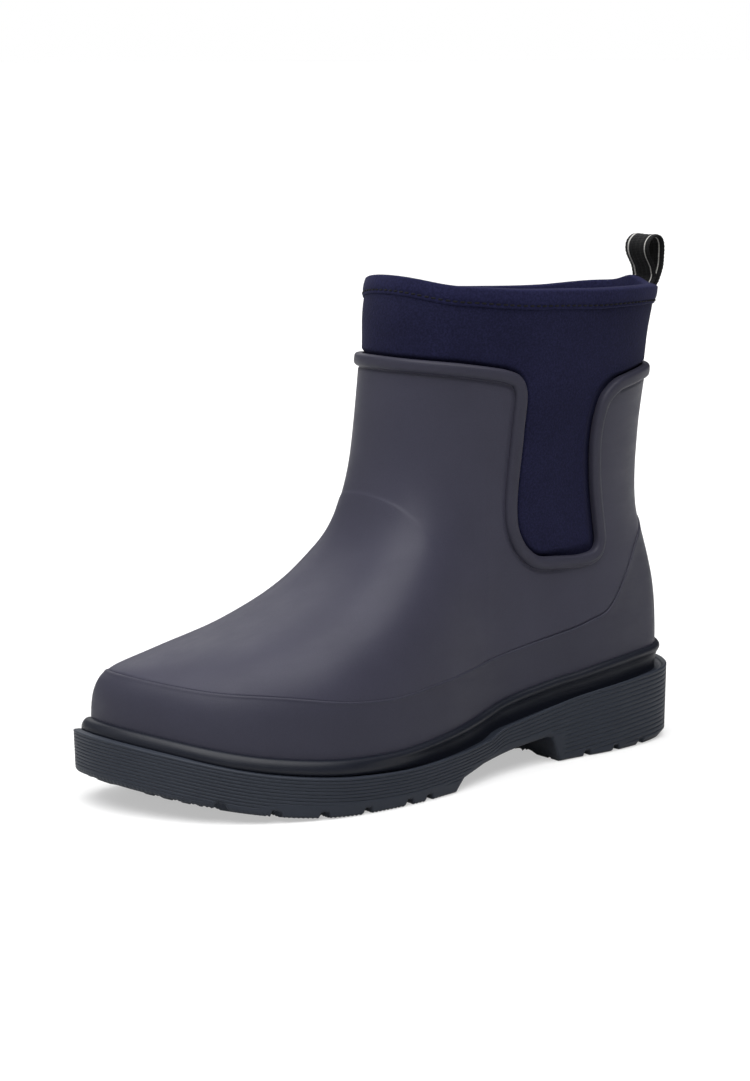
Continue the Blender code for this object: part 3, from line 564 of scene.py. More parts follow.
def mottled(tree, shader, base, factor, marks):
    """Colours the shader with base, made darker and lighter as factor varies between two marks."""
    shade = ramp(tree, factor, marks)
    tree.links.new(mixed(tree, 1, base, shade, "MULTIPLY"), shader.inputs["Base Color"])


def grey(share):
    return (share, share, share)


def maths(tree, kind, first, second=None):
    """One step of arithmetic on sockets. second may be a number."""
    node = tree.nodes.new("ShaderNodeMath")
    node.operation = kind
    tree.links.new(first, node.inputs[0])
    if isinstance(second, float):
        node.inputs[1].default_value = second
    elif second is not None:
        tree.links.new(second, node.inputs[1])
    return node.outputs[0]


def threads(tree, place, way, pitch, distortion, detail=2.0):
    """Bands across one axis, a thread every pitch metres."""
    wave = tree.nodes.new("ShaderNodeTexWave")
    wave.bands_direction = way
    wave.inputs["Scale"].default_value = WAVE_UNIT / pitch
    wave.inputs["Distortion"].default_value = distortion
    wave.inputs["Detail"].default_value = detail
    tree.links.new(place, wave.inputs["Vector"])
    return wave.outputs["Fac"]


def bumped(tree, shader, heights):
    """Chains bump nodes, finest last: heights is [(socket, strength, distance)]."""
    normal = None
    for height, strength, distance in heights:
        node = tree.nodes.new("ShaderNodeBump")
        node.inputs["Strength"].default_value = strength
        node.inputs["Distance"].default_value = distance
        tree.links.new(height, node.inputs["Height"])
        if normal is not None:
            tree.links.new(normal, node.inputs["Normal"])
        normal = node.outputs["Normal"]
    tree.links.new(normal, shader.inputs["Normal"])


def tone(colour, share):
    return tuple(c * share for c in colour)


def rubber(name, colour, roughness, grain=0.10, specular=0.17):
    """Moulded rubber: slow bloom of colour, faint scuffs and a fine matt grain."""
    slot, tree, shader, place = shader_of(name, roughness, specular=specular)
    slow = noise(tree, place, 28.0, 4.0)
    fine = noise(tree, place, 2600.0, 2.0)
    scuff = noise(tree, stretched(tree, place, (90.0, 30.0, 160.0)), 1.0, 6.0, 0.7)
    base = ramp(tree, slow, [(0.30, tone(colour, 0.94)), (0.70, tone(colour, 1.06))])
    mottled(tree, shader, base, fine, [(0.35, grey(0.93)), (0.65, grey(1.07))])
    rough = spread_value(tree, scuff, roughness - 0.05, roughness + 0.06)
    tree.links.new(rough, shader.inputs["Roughness"])
    bumped(tree, shader, [(slow, 0.05, 0.001), (fine, grain, 0.0002)])
    return slot


def knit(name, colour, light, scale=1500.0, sheen=0.25):
    """Fine knitted face of neoprene: short loops, speckle and a soft sheen."""
    slot, tree, shader, place = shader_of(name, 0.9, sheen=sheen, sheen_rough=0.5, specular=0.12)
    shader.inputs["Sheen Tint"].default_value = (0.55, 0.55, 0.9, 1.0)
    cells = tree.nodes.new("ShaderNodeTexVoronoi")
    cells.inputs["Scale"].default_value = 1.0
    tree.links.new(stretched(tree, place, (scale, scale, scale * 0.6)), cells.inputs["Vector"])
    loops = cells.outputs["Distance"]
    speck = noise(tree, place, scale * 0.8, 2.0, 0.6)
    slow = noise(tree, place, 35.0, 3.0)
    base = ramp(tree, speck, [(0.38, colour), (0.66, light)])
    mottled(tree, shader, base, slow, [(0.3, (0.88, 0.88, 0.90)), (0.7, (1.12, 1.12, 1.10))])
    tree.links.new(spread_value(tree, speck, 0.84, 0.96), shader.inputs["Roughness"])
    bumped(tree, shader, [(slow, 0.12, 0.002), (speck, 0.35, 0.0004), (loops, 0.35, 0.0003)])
    return slot


def foam(name, colour, scale=900.0):
    """Open foam: small round cells in the surface."""
    slot, tree, shader, place = shader_of(name, 0.95, specular=0.2)
    cells = tree.nodes.new("ShaderNodeTexVoronoi")
    cells.inputs["Scale"].default_value = scale
    tree.links.new(place, cells.inputs["Vector"])
    slow = noise(tree, place, 40.0)
    base = ramp(tree, cells.outputs["Distance"], [(0.0, tone(colour, 1.12)), (0.6, tone(colour, 0.78))])
    mottled(tree, shader, base, slow, [(0.3, grey(0.92)), (0.7, grey(1.08))])
    bumped(tree, shader, [(cells.outputs["Distance"], 0.5, 0.0006)])
    return slot


def weave(name, colour, light, pitch, sheen=0.2):
    """Plain woven cloth with its threads along X and across it."""
    slot, tree, shader, place = shader_of(name, 0.85, sheen=sheen, specular=0.3)
    ways = [threads(tree, place, way, pitch, 0.6, 1.0) for way in "XY"]
    cross = maths(tree, "MULTIPLY", *ways)
    slow = noise(tree, place, 60.0)
    base = ramp(tree, cross, [(0.0, colour), (0.8, light)])
    mottled(tree, shader, base, slow, [(0.3, grey(0.88)), (0.7, grey(1.12))])
    bumped(tree, shader, [(cross, 0.6, 0.0003)])
    return slot


def webbing():
    """Dark webbing with a pale stripe woven in near each edge."""
    slot, tree, shader, place = shader_of("webbing_look", 0.80, sheen=0.04, specular=0.2)
    split = tree.nodes.new("ShaderNodeSeparateXYZ")
    tree.links.new(place, split.inputs[0])
    side = maths(tree, "ABSOLUTE", maths(tree, "ADD", split.outputs["X"], CENTRE_X - LOOP_X))
    far = maths(tree, "ABSOLUTE", maths(tree, "SUBTRACT", side, STRIPE_AT))
    stripe = spread_value(tree, far, 1.0, 0.0, STRIPE_HALF * 0.7, STRIPE_HALF * 1.3)
    ribs = threads(tree, place, "X", 0.0009, 0.4)
    picks = threads(tree, place, "Z", 0.0007, 0.8)
    cross = maths(tree, "MULTIPLY", ribs, picks)
    dark = ramp(tree, cross, [(0.0, (0.004, 0.004, 0.0045)), (0.8, (0.014, 0.014, 0.016))])
    pale = ramp(tree, cross, [(0.0, (0.42, 0.41, 0.39)), (0.8, (0.75, 0.74, 0.71))])
    tree.links.new(mixed(tree, stripe, dark, pale), shader.inputs["Base Color"])
    fuzz = noise(tree, place, 3000.0)
    tree.links.new(spread_value(tree, fuzz, 0.72, 0.9), shader.inputs["Roughness"])
    bumped(tree, shader, [(cross, 0.7, 0.0003), (fuzz, 0.2, 0.0002)])
    return slot


def fibre(name, grain_scale, dark, light, roughness=0.9, specular=0.2, detail=4.0, depth=0.4):
    """Pressed fibre board or sheet: grain_scale is the noise's scale along each axis."""
    slot, tree, shader, place = shader_of(name, roughness, specular=specular)
    grain = noise(tree, stretched(tree, place, grain_scale), 1.0, detail)
    colour = ramp(tree, grain, [(0.3, dark), (0.7, light)])
    tree.links.new(colour, shader.inputs["Base Color"])
    bumped(tree, shader, [(grain, depth, 0.0003)])
    return slot


def rolled_steel():
    """Bare spring steel with fine lines along it."""
    slot, tree, shader, place = shader_of("shank_look", 0.32, metallic=1.0)
    rolled = noise(tree, stretched(tree, place, (2500.0, 30.0, 400.0)), 1.0, 3.0)
    colour = ramp(tree, rolled, [(0.3, (0.40, 0.40, 0.41)), (0.7, (0.52, 0.52, 0.53))])
    tree.links.new(colour, shader.inputs["Base Color"])
    tree.links.new(spread_value(tree, rolled, 0.26, 0.40), shader.inputs["Roughness"])
    bumped(tree, shader, [(rolled, 0.15, 0.0001)])
    return slot


RUBBER_SLATE = rubber("rubber_slate_look", (0.0400, 0.0392, 0.0590), 0.45)
RUBBER_GUARD = rubber("rubber_guard_look", (0.0345, 0.0342, 0.0510), 0.46)
RUBBER_BINDING = rubber("rubber_binding_look", (0.0340, 0.0333, 0.0500), 0.44)
RUBBER_WELT = rubber("rubber_welt_look", (0.0070, 0.0086, 0.0150), 0.42, grain=0.05, specular=0.28)
RUBBER_SOLE = rubber("rubber_sole_look", (0.0220, 0.0265, 0.0375), 0.46, grain=0.16, specular=0.22)
NEOPRENE_LOOK = knit("neoprene_look", (0.0064, 0.0068, 0.0240), (0.0128, 0.0134, 0.0410), sheen=0.03)
HEM_LOOK = knit("hem_look", (0.0078, 0.0082, 0.0310), (0.0145, 0.0152, 0.0490), scale=1300.0, sheen=0.04)
LINING_LOOK = knit("lining_look", (0.030, 0.030, 0.038), (0.060, 0.060, 0.072), scale=1100.0)
THREAD_LOOK = weave("thread_look", (0.002, 0.002, 0.005), (0.005, 0.005, 0.012), 0.0004, sheen=0.0)
COVER_LOOK = weave("cover_look", (0.030, 0.030, 0.036), (0.070, 0.070, 0.082), 0.0011)
FOOTBED_LOOK = foam("footbed_look", (0.070, 0.070, 0.080))
FOAM_LOOK = foam("foam_look", (0.20, 0.20, 0.21), 500.0)
WEBBING_LOOK = webbing()
BOARD_LOOK = fibre("board_look", (900.0, 90.0, 300.0), (0.17, 0.14, 0.10), (0.29, 0.245, 0.175))
SHEET_LOOK = fibre(
    "stiffener_look", (700.0, 700.0, 700.0), (0.24, 0.225, 0.19), (0.35, 0.33, 0.29), 0.85, 0.25, 5.0, 0.3
)

KEPT = {
    "forefoot_filler": FOAM_LOOK,
    "heel_core": FOAM_LOOK,
    "shank": rolled_steel(),
    "insole_board": BOARD_LOOK,
    "toe_puff": SHEET_LOOK,
    "heel_stiffener": SHEET_LOOK,
    "foot_lining": LINING_LOOK,
}
for node, look in KEPT.items():
    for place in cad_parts[node].material_slots:
        place.material = look


# ---------------------------------------------------------------- edge of the rubber
def shaft_point(angle, z):
    """Skin points round the shaft's axis, at angles from the front."""
    def place(r):
        return np.stack([r * np.sin(angle), SHAFT_AXIS_Y - r * np.cos(angle), z + 0 * r], -1)

    return solve(place, angle.shape)


def side_x(y, z):
    """How far out the skin's outer side is."""
    def place(r):
        return np.stack([r, y + 0 * r, z + 0 * r], -1)

    return solve(place, y.shape)[:, 0]


def edge_path(count):
    """The rubber's top edge, down and up round both windows, drawn on the shaft rolled out flat."""
    y, z = np.array(EDGE).T
    angle = np.arctan2(side_x(y, z), -(y - SHAFT_AXIS_Y))
    turn = 2 * math.pi * SHAFT_RADIUS
    side = [(a * SHAFT_RADIUS, h) for a, h in zip(angle, z)]
    other = [(turn - at, h) for at, h in side[::-1]]
    start = [(-side[0][0], side[0][1]), (0.0, EDGE_FRONT_Z)]
    finish = [(turn, EDGE_FRONT_Z), (turn + side[0][0], side[0][1])]
    whole = through(start + side + [(turn / 2, EDGE_BACK_Z)] + other + finish, 4000)
    whole = whole[(whole[:, 0] >= 0) & (whole[:, 0] < turn)]
    points = shaft_point(whole[:, 0] / SHAFT_RADIUS, whole[:, 1])
    run = np.r_[0, np.cumsum(np.linalg.norm(np.diff(points, axis=0), axis=1))]
    want = np.linspace(0, run[-1], count, endpoint=False)
    return np.stack([np.interp(want, run, points[:, k]) for k in range(3)], -1)


EDGE_PATH = edge_path(1200)


def away_from_collar(path):
    """Unit directions in the skin at the edge, square to it and onto the rubber."""
    along = np.roll(path, -2, 0) - np.roll(path, 2, 0)
    way = np.cross(along, outward(path))
    way /= np.linalg.norm(way, axis=1)[:, None]
    front = int(np.argmin(path[:, 1]))
    return -way if way[front, 2] > 0 else way


EDGE_TREE = kdtree.KDTree(len(EDGE_PATH))
for number, spot in enumerate(EDGE_PATH):
    EDGE_TREE.insert(Vector(spot), number)
EDGE_TREE.balance()
EDGE_DOWN = away_from_collar(EDGE_PATH)


def from_edge(points):
    """Distance of skin points from the rubber's edge, above zero on the rubber."""
    flat = points.reshape(-1, 3)
    distance = np.full(len(flat), FAR_FROM_EDGE)
    near = np.nonzero(flat[:, 2] > EDGE_LOWEST_Z)[0]
    for k in near:
        _, index, far = EDGE_TREE.find(flat[k])
        side = np.dot(flat[k] - EDGE_PATH[index], EDGE_DOWN[index])
        distance[k] = far if side > 0 else -far
    return distance.reshape(points.shape[:-1])


# ---------------------------------------------------------------- rubber upper
LAP_ROWS = 120
LEG_ROWS = 170
UNDER_GUARD = 0.0045
LAP_RIDGE = 0.00030
BINDING_GROOVE = 0.00045
BINDING_FOOT = 0.0056  # from the rubber's edge to the groove below the binding
LEAST_CELL = 0.00004


def upper_grid():
    """Rows of distances up each column: the vamp's up to the lap, then the leg's. Also the lap's row."""
    low = np.maximum(GUARD_LINE - UNDER_GUARD, 0.0)
    front = np.abs(FOOT_ANGLES) < 2.8
    lap = np.where(front, np.maximum(LAP_LINE, low), low)
    first = low + (lap - low) * np.linspace(0, 1, LAP_ROWS + 1)[:, None]
    second = lap + (TOP_LINE - lap) * np.linspace(0, 1, LEG_ROWS + 1)[1:, None]
    return np.concatenate([first, second]), lap


UPPER_RUN, LAP = upper_grid()
UPPER, UPPER_OUT = on_skin(UPPER_RUN)
UPPER_EDGE = from_edge(UPPER)


def upper_height():
    """How far the rubber's face stands off the skin."""
    above = UPPER_RUN - GUARD_LINE
    rear = step_up((UPPER[..., 1] - 0.020) / 0.050)
    rise = step_up((above + 0.0016 - 0.0005 * rear) / (0.0015 + 0.0004 * rear))
    height = RUBBER_UNDER_GUARD * (1 - rise)
    lap_up = UPPER_RUN - LAP
    lap_z = np.where(LAP > GUARD_LINE, UPPER[LAP_ROWS, :, 2], 0.0)
    shown = step_up((lap_z - 0.088) / 0.020)
    vamp_side = bump(lap_up / 0.0060) * (lap_up <= 0)
    leg_side = bump(lap_up / 0.0011) * (lap_up > 0)
    height += LAP_RIDGE * shown * (vamp_side + leg_side)
    front_way = 1 - step_up((UPPER[..., 1] - 0.058) / 0.012) * (UPPER[..., 2] < 0.160)
    return height - BINDING_GROOVE * bump((UPPER_EDGE - BINDING_FOOT) / 0.0005) * front_way


def build_upper():
    """The vamp and the leg panel, two sheets that meet at the lap."""
    face = UPPER + UPPER_OUT * upper_height()[..., None]
    over_guard = step_up((UPPER_RUN - GUARD_LINE - 0.006) / 0.008)
    inside = UPPER + UPPER_OUT * (RUBBER_UNDER_GUARD * (1 - over_guard) - RUBBER)[..., None]
    tall = np.linalg.norm(np.diff(face, axis=0), axis=-1) > LEAST_CELL
    tall = tall & np.roll(tall, -1, 1)
    in_window = UPPER_EDGE < 0.0008
    in_window = in_window[:-1] | in_window[1:]
    in_window = in_window | np.roll(in_window, -1, 1)
    row = np.arange(len(face) - 1)[:, None]
    normals = grid_normals(face)
    return [
        plate("vamp_rubber", RUBBER_SLATE, face, inside, tall & (row < LAP_ROWS), normals),
        plate("leg_rubber", RUBBER_SLATE, face, inside, tall & (row >= LAP_ROWS) & ~in_window, normals),
    ]


vamp, leg = build_upper()

# ---------------------------------------------------------------- guard
GUARD_PARTS = 96


def build_guard():
    """The raised strip round the foot, with a rounded top corner."""
    share = np.r_[np.linspace(0, 0.90, GUARD_PARTS - 34), np.linspace(0.90, 1.0, 36)[1:]]
    run = GUARD_LINE * share[:, None]
    place, out = on_skin(run)
    down = GUARD_LINE - run
    front = 1 - step_up((place[..., 1] - 0.000) / 0.060)
    height = 0.0003 + 0.00015 * front * bump((down - 0.0011) / 0.0008)
    height = height + 0.00022 * (1 - front) * bump(down / 0.004)
    height = height - (0.0010 - 0.0004 * front) * rounding(down, 0.0007, 0.999)
    face = place + out * height[..., None]
    back = place + out * -0.0010
    return plate("guard_rubber", RUBBER_GUARD, face, back, np.ones((len(run) - 1, COLUMNS), bool))


guard = build_guard()

# ---------------------------------------------------------------- welt
BEAD_Y = [-0.144, -0.060, -0.020, 0.010, 0.030, 0.060, 0.090, 0.144]
BEAD_TOP = [0.0066, 0.0068, 0.0066, 0.0060, 0.0076, 0.0090, 0.0099, 0.0096]
# How far the sole's top edge lies below the line where the upper meets the sole.
EDGE_DROP_Y = [-0.144, -0.070, -0.035, -0.012, 0.010, 0.0175, 0.0235, 0.040, 0.075, 0.105, 0.144]
EDGE_DROP = [0.0, 0.0002, 0.0010, 0.0024, 0.0043, 0.0045, 0.0033, 0.0029, 0.0015, 0.0008, 0.0004]
# (share of the height, distance out) down the welt: one full bead at the toe, and a bead over
# a hollow further back.
WELT_TOE = [
    (1.00, 0.0002), (0.995, 0.0012), (0.965, 0.0020), (0.90, 0.0027), (0.78, 0.0034), (0.64, 0.0039),
    (0.50, 0.0042), (0.37, 0.0043), (0.25, 0.0042), (0.14, 0.0039), (0.06, 0.0034), (0.0, 0.0028),
]
WELT_WAIST = [
    (1.00, 0.0002), (0.995, 0.0011), (0.975, 0.0017), (0.93, 0.0022), (0.86, 0.0025), (0.785, 0.0024),
    (0.72, 0.0020), (0.65, 0.0015), (0.54, 0.0010), (0.40, 0.0007), (0.20, 0.0004), (0.0, 0.0003),
]


def edge_drop(y):
    return curve(EDGE_DROP_Y, EDGE_DROP, y)


def waist_share(y):
    """0 at the toe and 1 from the waist back."""
    return step_up((y + 0.075) / 0.070)


def gutter(y):
    """Depth of the gutter behind the sole's top edge."""
    return 0.0016 * waist_share(y)


def build_welt():
    """One ring that changes from the toe's bead to the waist's bead and hollow."""
    foot_y = SKIN[0, :, 1]
    top = smooth_ring(np.interp(foot_y, BEAD_Y, BEAD_TOP) - UPPER_LIFT, 20)
    low = -edge_drop(foot_y) - 0.0004 - gutter(foot_y)
    waist = waist_share(foot_y)
    toe_shape = through(WELT_TOE, 52)
    waist_shape = through(WELT_WAIST, 52)
    stations = [(top + 0.0001, -0.0004 + 0 * top)]
    for toe_at, waist_at in zip(toe_shape, waist_shape):
        share = toe_at[0] + (waist_at[0] - toe_at[0]) * waist
        stations.append((low + (top - low) * share, toe_at[1] + (waist_at[1] - toe_at[1]) * waist))
    stations += [(low - 0.0002, 0.0004 + 0 * top), (low - 0.0002, -0.0010 + 0 * top)]
    run = np.stack([s[0] for s in stations[::-1]])
    far = np.stack([s[1] for s in stations[::-1]])
    place, out = on_skin(np.maximum(run, 0))
    place[..., 2] += np.minimum(run, 0)
    return ring_sweep("welt_bead", RUBBER_WELT, place + out * far[..., None])


welt = build_welt()

# ---------------------------------------------------------------- binding
# (distance down from the rubber's edge, distance off the skin) round the band.
BAND = [
    (0.0002, -0.0019), (-0.0004, -0.0018), (-0.0006, -0.0008), (-0.0006, 0.0004), (-0.0003, 0.0012),
    (0.0004, 0.0017), (0.0014, 0.0019), (0.0026, 0.00195), (0.0036, 0.0019), (0.0043, 0.0016),
    (0.0048, 0.0011), (0.0051, 0.0004), (0.0052, -0.0004), (0.0040, -0.0007), (0.0012, -0.0007),
    (0.0006, -0.0012),
]


def skin_gap(points):
    slope = np.linalg.norm(skin_slope(points), axis=-1)
    return (skin_value(*points.T) / slope)[:, None]


def build_binding():
    """A rounded band along the edge, lower behind the windows."""
    rings = []
    rear = step_up((EDGE_PATH[:, 1] - 0.058) / 0.010) * (1 - step_up((EDGE_PATH[:, 2] - 0.150) / 0.012))
    for across, height in through(BAND, 44, closed=True):
        lower = 1 - 0.25 * rear[:, None] * (across > 0.003)
        spot = EDGE_PATH + EDGE_DOWN * across
        rings.append(spot + outward(spot) * (height * lower - skin_gap(spot)))
    return ring_sweep("shaft_binding_rubber", RUBBER_BINDING, np.stack(rings))


binding = build_binding()

# ---------------------------------------------------------------- collar
COLLAR_ROWS = 190
RIPPLE = 0.00025


def build_collar():
    """The stretched neoprene: under the rubber, full in the windows and above the rubber's edge."""
    high = RIM_LINE - 0.0020
    run = COLLAR_FOOT + (high - COLLAR_FOOT) * np.linspace(0, 1, COLLAR_ROWS)[:, None]
    place, out = on_skin(run)
    past = -from_edge(place)
    y = place[..., 1]
    z = place[..., 2]
    over_guard = step_up((z - curve(GUARD_Y, GUARD_Z, y) - 0.0080) / 0.008)
    deep = RUBBER_UNDER_GUARD * (1 - over_guard) - RUBBER - COLLAR_CLEARANCE
    band = step_up((y - 0.022) / 0.012) * (1 - step_up((y - 0.086) / 0.012))
    in_window = (1 - step_up((z - 0.158) / 0.020)) * band
    forward = 1 - step_up((y - 0.040) / 0.040)
    window_full = -0.0004 * forward - 0.0015 * (1 - forward)
    top_full = -0.0012 + 0.0008 * step_up((z - 0.180) / 0.020)
    full = window_full * in_window + top_full * (1 - in_window)
    width = 0.0022 + 0.0030 * (1 - forward) * in_window
    height = deep + (full - deep) * step_up((past - 0.0002) / width)
    height = height + wobble(ROUND, 5, RIPPLE) * step_up((z - 0.175) / 0.02)
    face = place + out * height[..., None]
    inside = place + out * (height - NEOPRENE)[..., None]
    return plate("collar_neoprene", NEOPRENE_LOOK, face, inside, np.ones((COLLAR_ROWS - 1, COLUMNS), bool))


collar = build_collar()


# ---------------------------------------------------------------- hem
def hem_section():
    """(distance down from the rim, distance out) round the folded band, outer face first."""
    out_face = GAP + HEM_SKIN
    in_face = -NEOPRENE - GAP - HEM_SKIN
    deep = HEM_HEIGHT
    middle = (out_face + in_face) / 2
    section = [(deep, 0.0000), (deep + 0.0001, 0.0003), (deep - 0.0004, out_face - 0.0004)]
    section += [(deep - 0.0009, out_face - 0.0003), (deep - STITCH_UP, out_face - 0.0006)]
    section += [(deep - 0.0022, out_face - 0.0002), (deep * 0.5, out_face + 0.0001), (0.0022, out_face)]
    for angle in np.linspace(0.12, 0.88, 9) * math.pi:
        section.append((0.0012 - 0.0012 * math.sin(angle), middle + (out_face - middle) * math.cos(angle)))
    section += [(0.0024, in_face - 0.0001), (deep * 0.6, in_face - 0.0003), (deep - 0.0008, in_face)]
    section += [(deep, in_face + 0.0002), (deep, in_face + 0.0009), (deep * 0.5, -NEOPRENE - 0.0002)]
    section += [(0.0022, -NEOPRENE - 0.0002)]
    section += [(0.0019, -NEOPRENE / 2), (0.0022, 0.0002), (deep * 0.5, 0.0002)]
    return section


HEM_IN = 0.0005
STITCH_UP = 0.0015  # from the hem's lower edge to the stitches
STITCH_LONG = 0.0022
STITCH_PITCH = 0.0031
STITCH_RADIUS = 0.00042
# Slow waves along the hem: up and down, and in and out.
HEM_WAVE = wobble(ROUND, 11, 0.00045)
HEM_PUFF = wobble(ROUND, 23, 0.00028)


def hem_point(down, far):
    """A line round the hem, drawn up and in a little where the loop is sewn to its back."""
    place, out = on_skin((RIM_LINE - down)[None, :])
    line = (place + out * np.reshape(far - HEM_IN, (1, -1, 1)))[0]
    behind = line[:, 1] > 0.080
    line[:, 1] -= 0.0007 * bump((line[:, 0] - LOOP_X) / 0.0095) * behind
    line[:, 2] += 0.0028 * bump((line[:, 0] - 0.0035) / 0.0080) * behind
    line[:, 2] -= HEM_WAVE * 0.5
    return line


def build_hem():
    """The folded band over the collar's rim, a little uneven."""
    rings = []
    for down, far in through(hem_section(), 72, closed=True):
        shift = HEM_WAVE * (0.6 + 0.4 * step_up((down - 0.0015) / 0.006)) * (down > 0.003)
        push = HEM_PUFF * (far > 0.0008 or far < -NEOPRENE - 0.0004)
        rings.append(hem_point(np.maximum(down + shift, 0.0), far + push))
    return ring_sweep("hem_fold", HEM_LOOK, np.stack(rings))


hem = build_hem()


def capsule(path, radius):
    """A short rounded thread along a path, eight-sided: its points and faces."""
    sides = 8
    along = np.gradient(path, axis=0)
    along /= np.linalg.norm(along, axis=1)[:, None]
    up = np.cross(along, outward(path))
    up /= np.linalg.norm(up, axis=1)[:, None]
    out = np.cross(up, along)
    count = len(path)
    size = radius * np.sqrt(np.clip(1 - np.linspace(-1, 1, count) ** 4, 0.05, 1))
    turn = np.linspace(0, 2 * math.pi, sides, endpoint=False)
    rings = path[:, None] + size[:, None, None] * (
        np.cos(turn)[None, :, None] * out[:, None] + np.sin(turn)[None, :, None] * up[:, None]
    )
    faces = grid_quads(count, sides)
    caps = []
    for a, b, c, d, e, f, g, h in (range(sides), range(count * sides)[: -sides - 1 : -1]):
        caps += [(d, c, b, a), (e, d, a, h), (f, e, h, g)]
    return rings.reshape(-1, 3), np.concatenate([faces, np.array(caps)])


def stitch_paths():
    """The middle lines of the stitches in the hem's outer face."""
    line = hem_point(HEM_HEIGHT - STITCH_UP + HEM_WAVE, GAP + HEM_SKIN - 0.00034 + HEM_PUFF)
    closed = np.vstack([line, line[:1]])
    run = np.r_[0, np.cumsum(np.linalg.norm(np.diff(closed, axis=0), axis=1))]
    count = int(run[-1] / STITCH_PITCH)
    maker = np.random.default_rng(3)
    made = []
    for k in range(count):
        start = k * run[-1] / count + maker.uniform(-0.00012, 0.00012)
        want = np.linspace(start, start + STITCH_LONG, 7) % run[-1]
        path = np.stack([np.interp(want, run, closed[:, axis]) for axis in range(3)], -1)
        if np.linalg.norm(path[0] - path[-1]) > 2 * STITCH_LONG:
            continue
        path = path - outward(path) * (0.0003 * np.linspace(-1, 1, 7)[:, None] ** 4)
        path[:, 2] += np.linspace(-0.00008, 0.00008, 7)
        made.append(path)
    return made


def build_stitches():
    points, faces, base = [], [], 0
    for path in stitch_paths():
        p, f = capsule(path, STITCH_RADIUS)
        points.append(p)
        faces.append(f + base)
        base += len(p)
    return make("hem_stitches", np.concatenate(points), np.concatenate(faces), THREAD_LOOK)


stitches = build_stitches()


# ---------------------------------------------------------------- outsole
TREAD_Y = [-0.117, -0.098, -0.079, -0.059, -0.037, -0.0255, 0.078, 0.095, 0.112]
ARCH_LINE_Y = [-0.0085, -0.0065, -0.0030, 0.0120, 0.0365, 0.0555, 0.0575, 0.0605, 0.0622]
ARCH_LINE_Z = [0.0000, 0.0020, 0.0050, 0.0080, 0.0105, 0.0120, 0.0110, 0.0030, 0.0000]
BREAST_Y = 0.0605  # the heel block's front face
WALL_LEAN = 0.0006
TOP_EDGE_FALL = 0.00025
SERRATION = 0.00022
SERRATION_PITCH = 0.0020
TRAY_INSET = 0.0122
# (distance in from the edge, height over the top line): the ledge round the welt, with fine beads.
LEDGE_SHAPE = [
    (TRAY_INSET, 0.0), (0.0090, 0.0), (0.0060, 0.0), (0.0034, 0.0), (0.0030, 0.0), (0.0027, 0.00022),
    (0.0024, 0.0), (0.0021, 0.0), (0.0018, 0.00026), (0.0015, 0.0), (0.0011, -0.00002),
    (0.0007, 0.00012), (0.0003, 0.00006),
]


def tread_grooves(y, width=0.0013):
    cut = np.zeros_like(y)
    for middle in TREAD_Y:
        cut = np.maximum(cut, 0.0024 * (1 - step_up((np.abs(y - middle) - width) / 0.0011)))
    return cut


def tread(x, y):
    """Height of the underside over its plain surface: grooves, and small bars between them."""
    within = np.interp(y, SOLE_SIDE_Y, SOLE_SIDE_HALF)
    inner = step_up((within - 0.007 - np.abs(x - np.interp(y, SOLE_SIDE_Y, SOLE_SIDE_X))) / 0.0015)
    slant = ((y + 0.45 * np.abs(x - 0.004)) / 0.0072) % 1
    bars = 0.0015 * step_up((0.26 - np.abs(slant - 0.5)) / 0.10)
    return np.maximum(tread_grooves(y), bars * inner)


def arch(y):
    return np.interp(y, ARCH_LINE_Y, ARCH_LINE_Z, left=0, right=0)


def sole_sides():
    """Places along the sole, with its half width and its middle there."""
    ys = np.linspace(-0.138, 0.138, 140)
    left = SOLE[SOLE[:, 0] < 0.0]
    right = SOLE[SOLE[:, 0] >= 0.0]
    low = np.interp(ys, *left[np.argsort(left[:, 1])].T[::-1])
    high = np.interp(ys, *right[np.argsort(right[:, 1])].T[::-1])
    return ys, (high - low) / 2, (high + low) / 2


SOLE_SIDE_Y, SOLE_SIDE_HALF, SOLE_SIDE_X = sole_sides()


def sole_bottom(x, y):
    rise = arch(y)
    return ground(y) + rise + tread(x, y) * (1 - step_up(rise / 0.003))


def rib_pitch(y):
    return RIB_PITCH_FRONT + (RIB_PITCH_HEEL - RIB_PITCH_FRONT) * step_up((y - 0.0) / 0.085)


def ledge_rings(top):
    """The sole's top face, from the tray out to the edge."""
    rings = []
    for into, height in LEDGE_SHAPE:
        z = top + height - gutter(SOLE[:, 1]) * step_up((into - 0.0008) / 0.0022)
        rings.append(np.c_[inset(SOLE, into), z])
    return rings


def wall_rings(top, plain, bottom, edge_round):
    """The ribbed side, from the top edge down."""
    y = SOLE[:, 1]
    smooth_low = 0.30 * (1 - step_up((np.abs(y + 0.055) - 0.035) / 0.03))
    breast = (1 - step_up((np.abs(y - BREAST_Y) - 0.0022) / 0.0030)) * (y > 0.050)
    depths = [0.0] + [k + part for k in range(RIB_COUNT) for part in (0.62, 0.72, 0.80, 0.88, 0.98, 1.28)]
    rings = []
    for depth in depths:
        z = top - depth * rib_pitch(y)
        left = (z - plain) / (top - plain)
        fade = step_up((left - smooth_low) / 0.08) * step_up((z - plain - 0.0022) / 0.001)
        fade = fade * (1 - breast * (1 - step_up((z - 0.0118) / 0.0020)))
        groove = RIB_DEPTH * bump((depth % 1 - 0.80) / 0.10) * fade if depth > 0.3 else 0.0
        into = groove + edge_round * rounding(z - bottom, edge_round) + WALL_LEAN * (1 - left)
        lowest = bottom + 0.0001
        foot = edge_round * rounding(lowest - bottom, edge_round) + WALL_LEAN
        into = np.where(z < lowest, foot, into)
        z = np.maximum(z, lowest)
        rings.append(np.c_[inset(SOLE, into), z - TOP_EDGE_FALL if depth == 0.0 else z])
    return rings


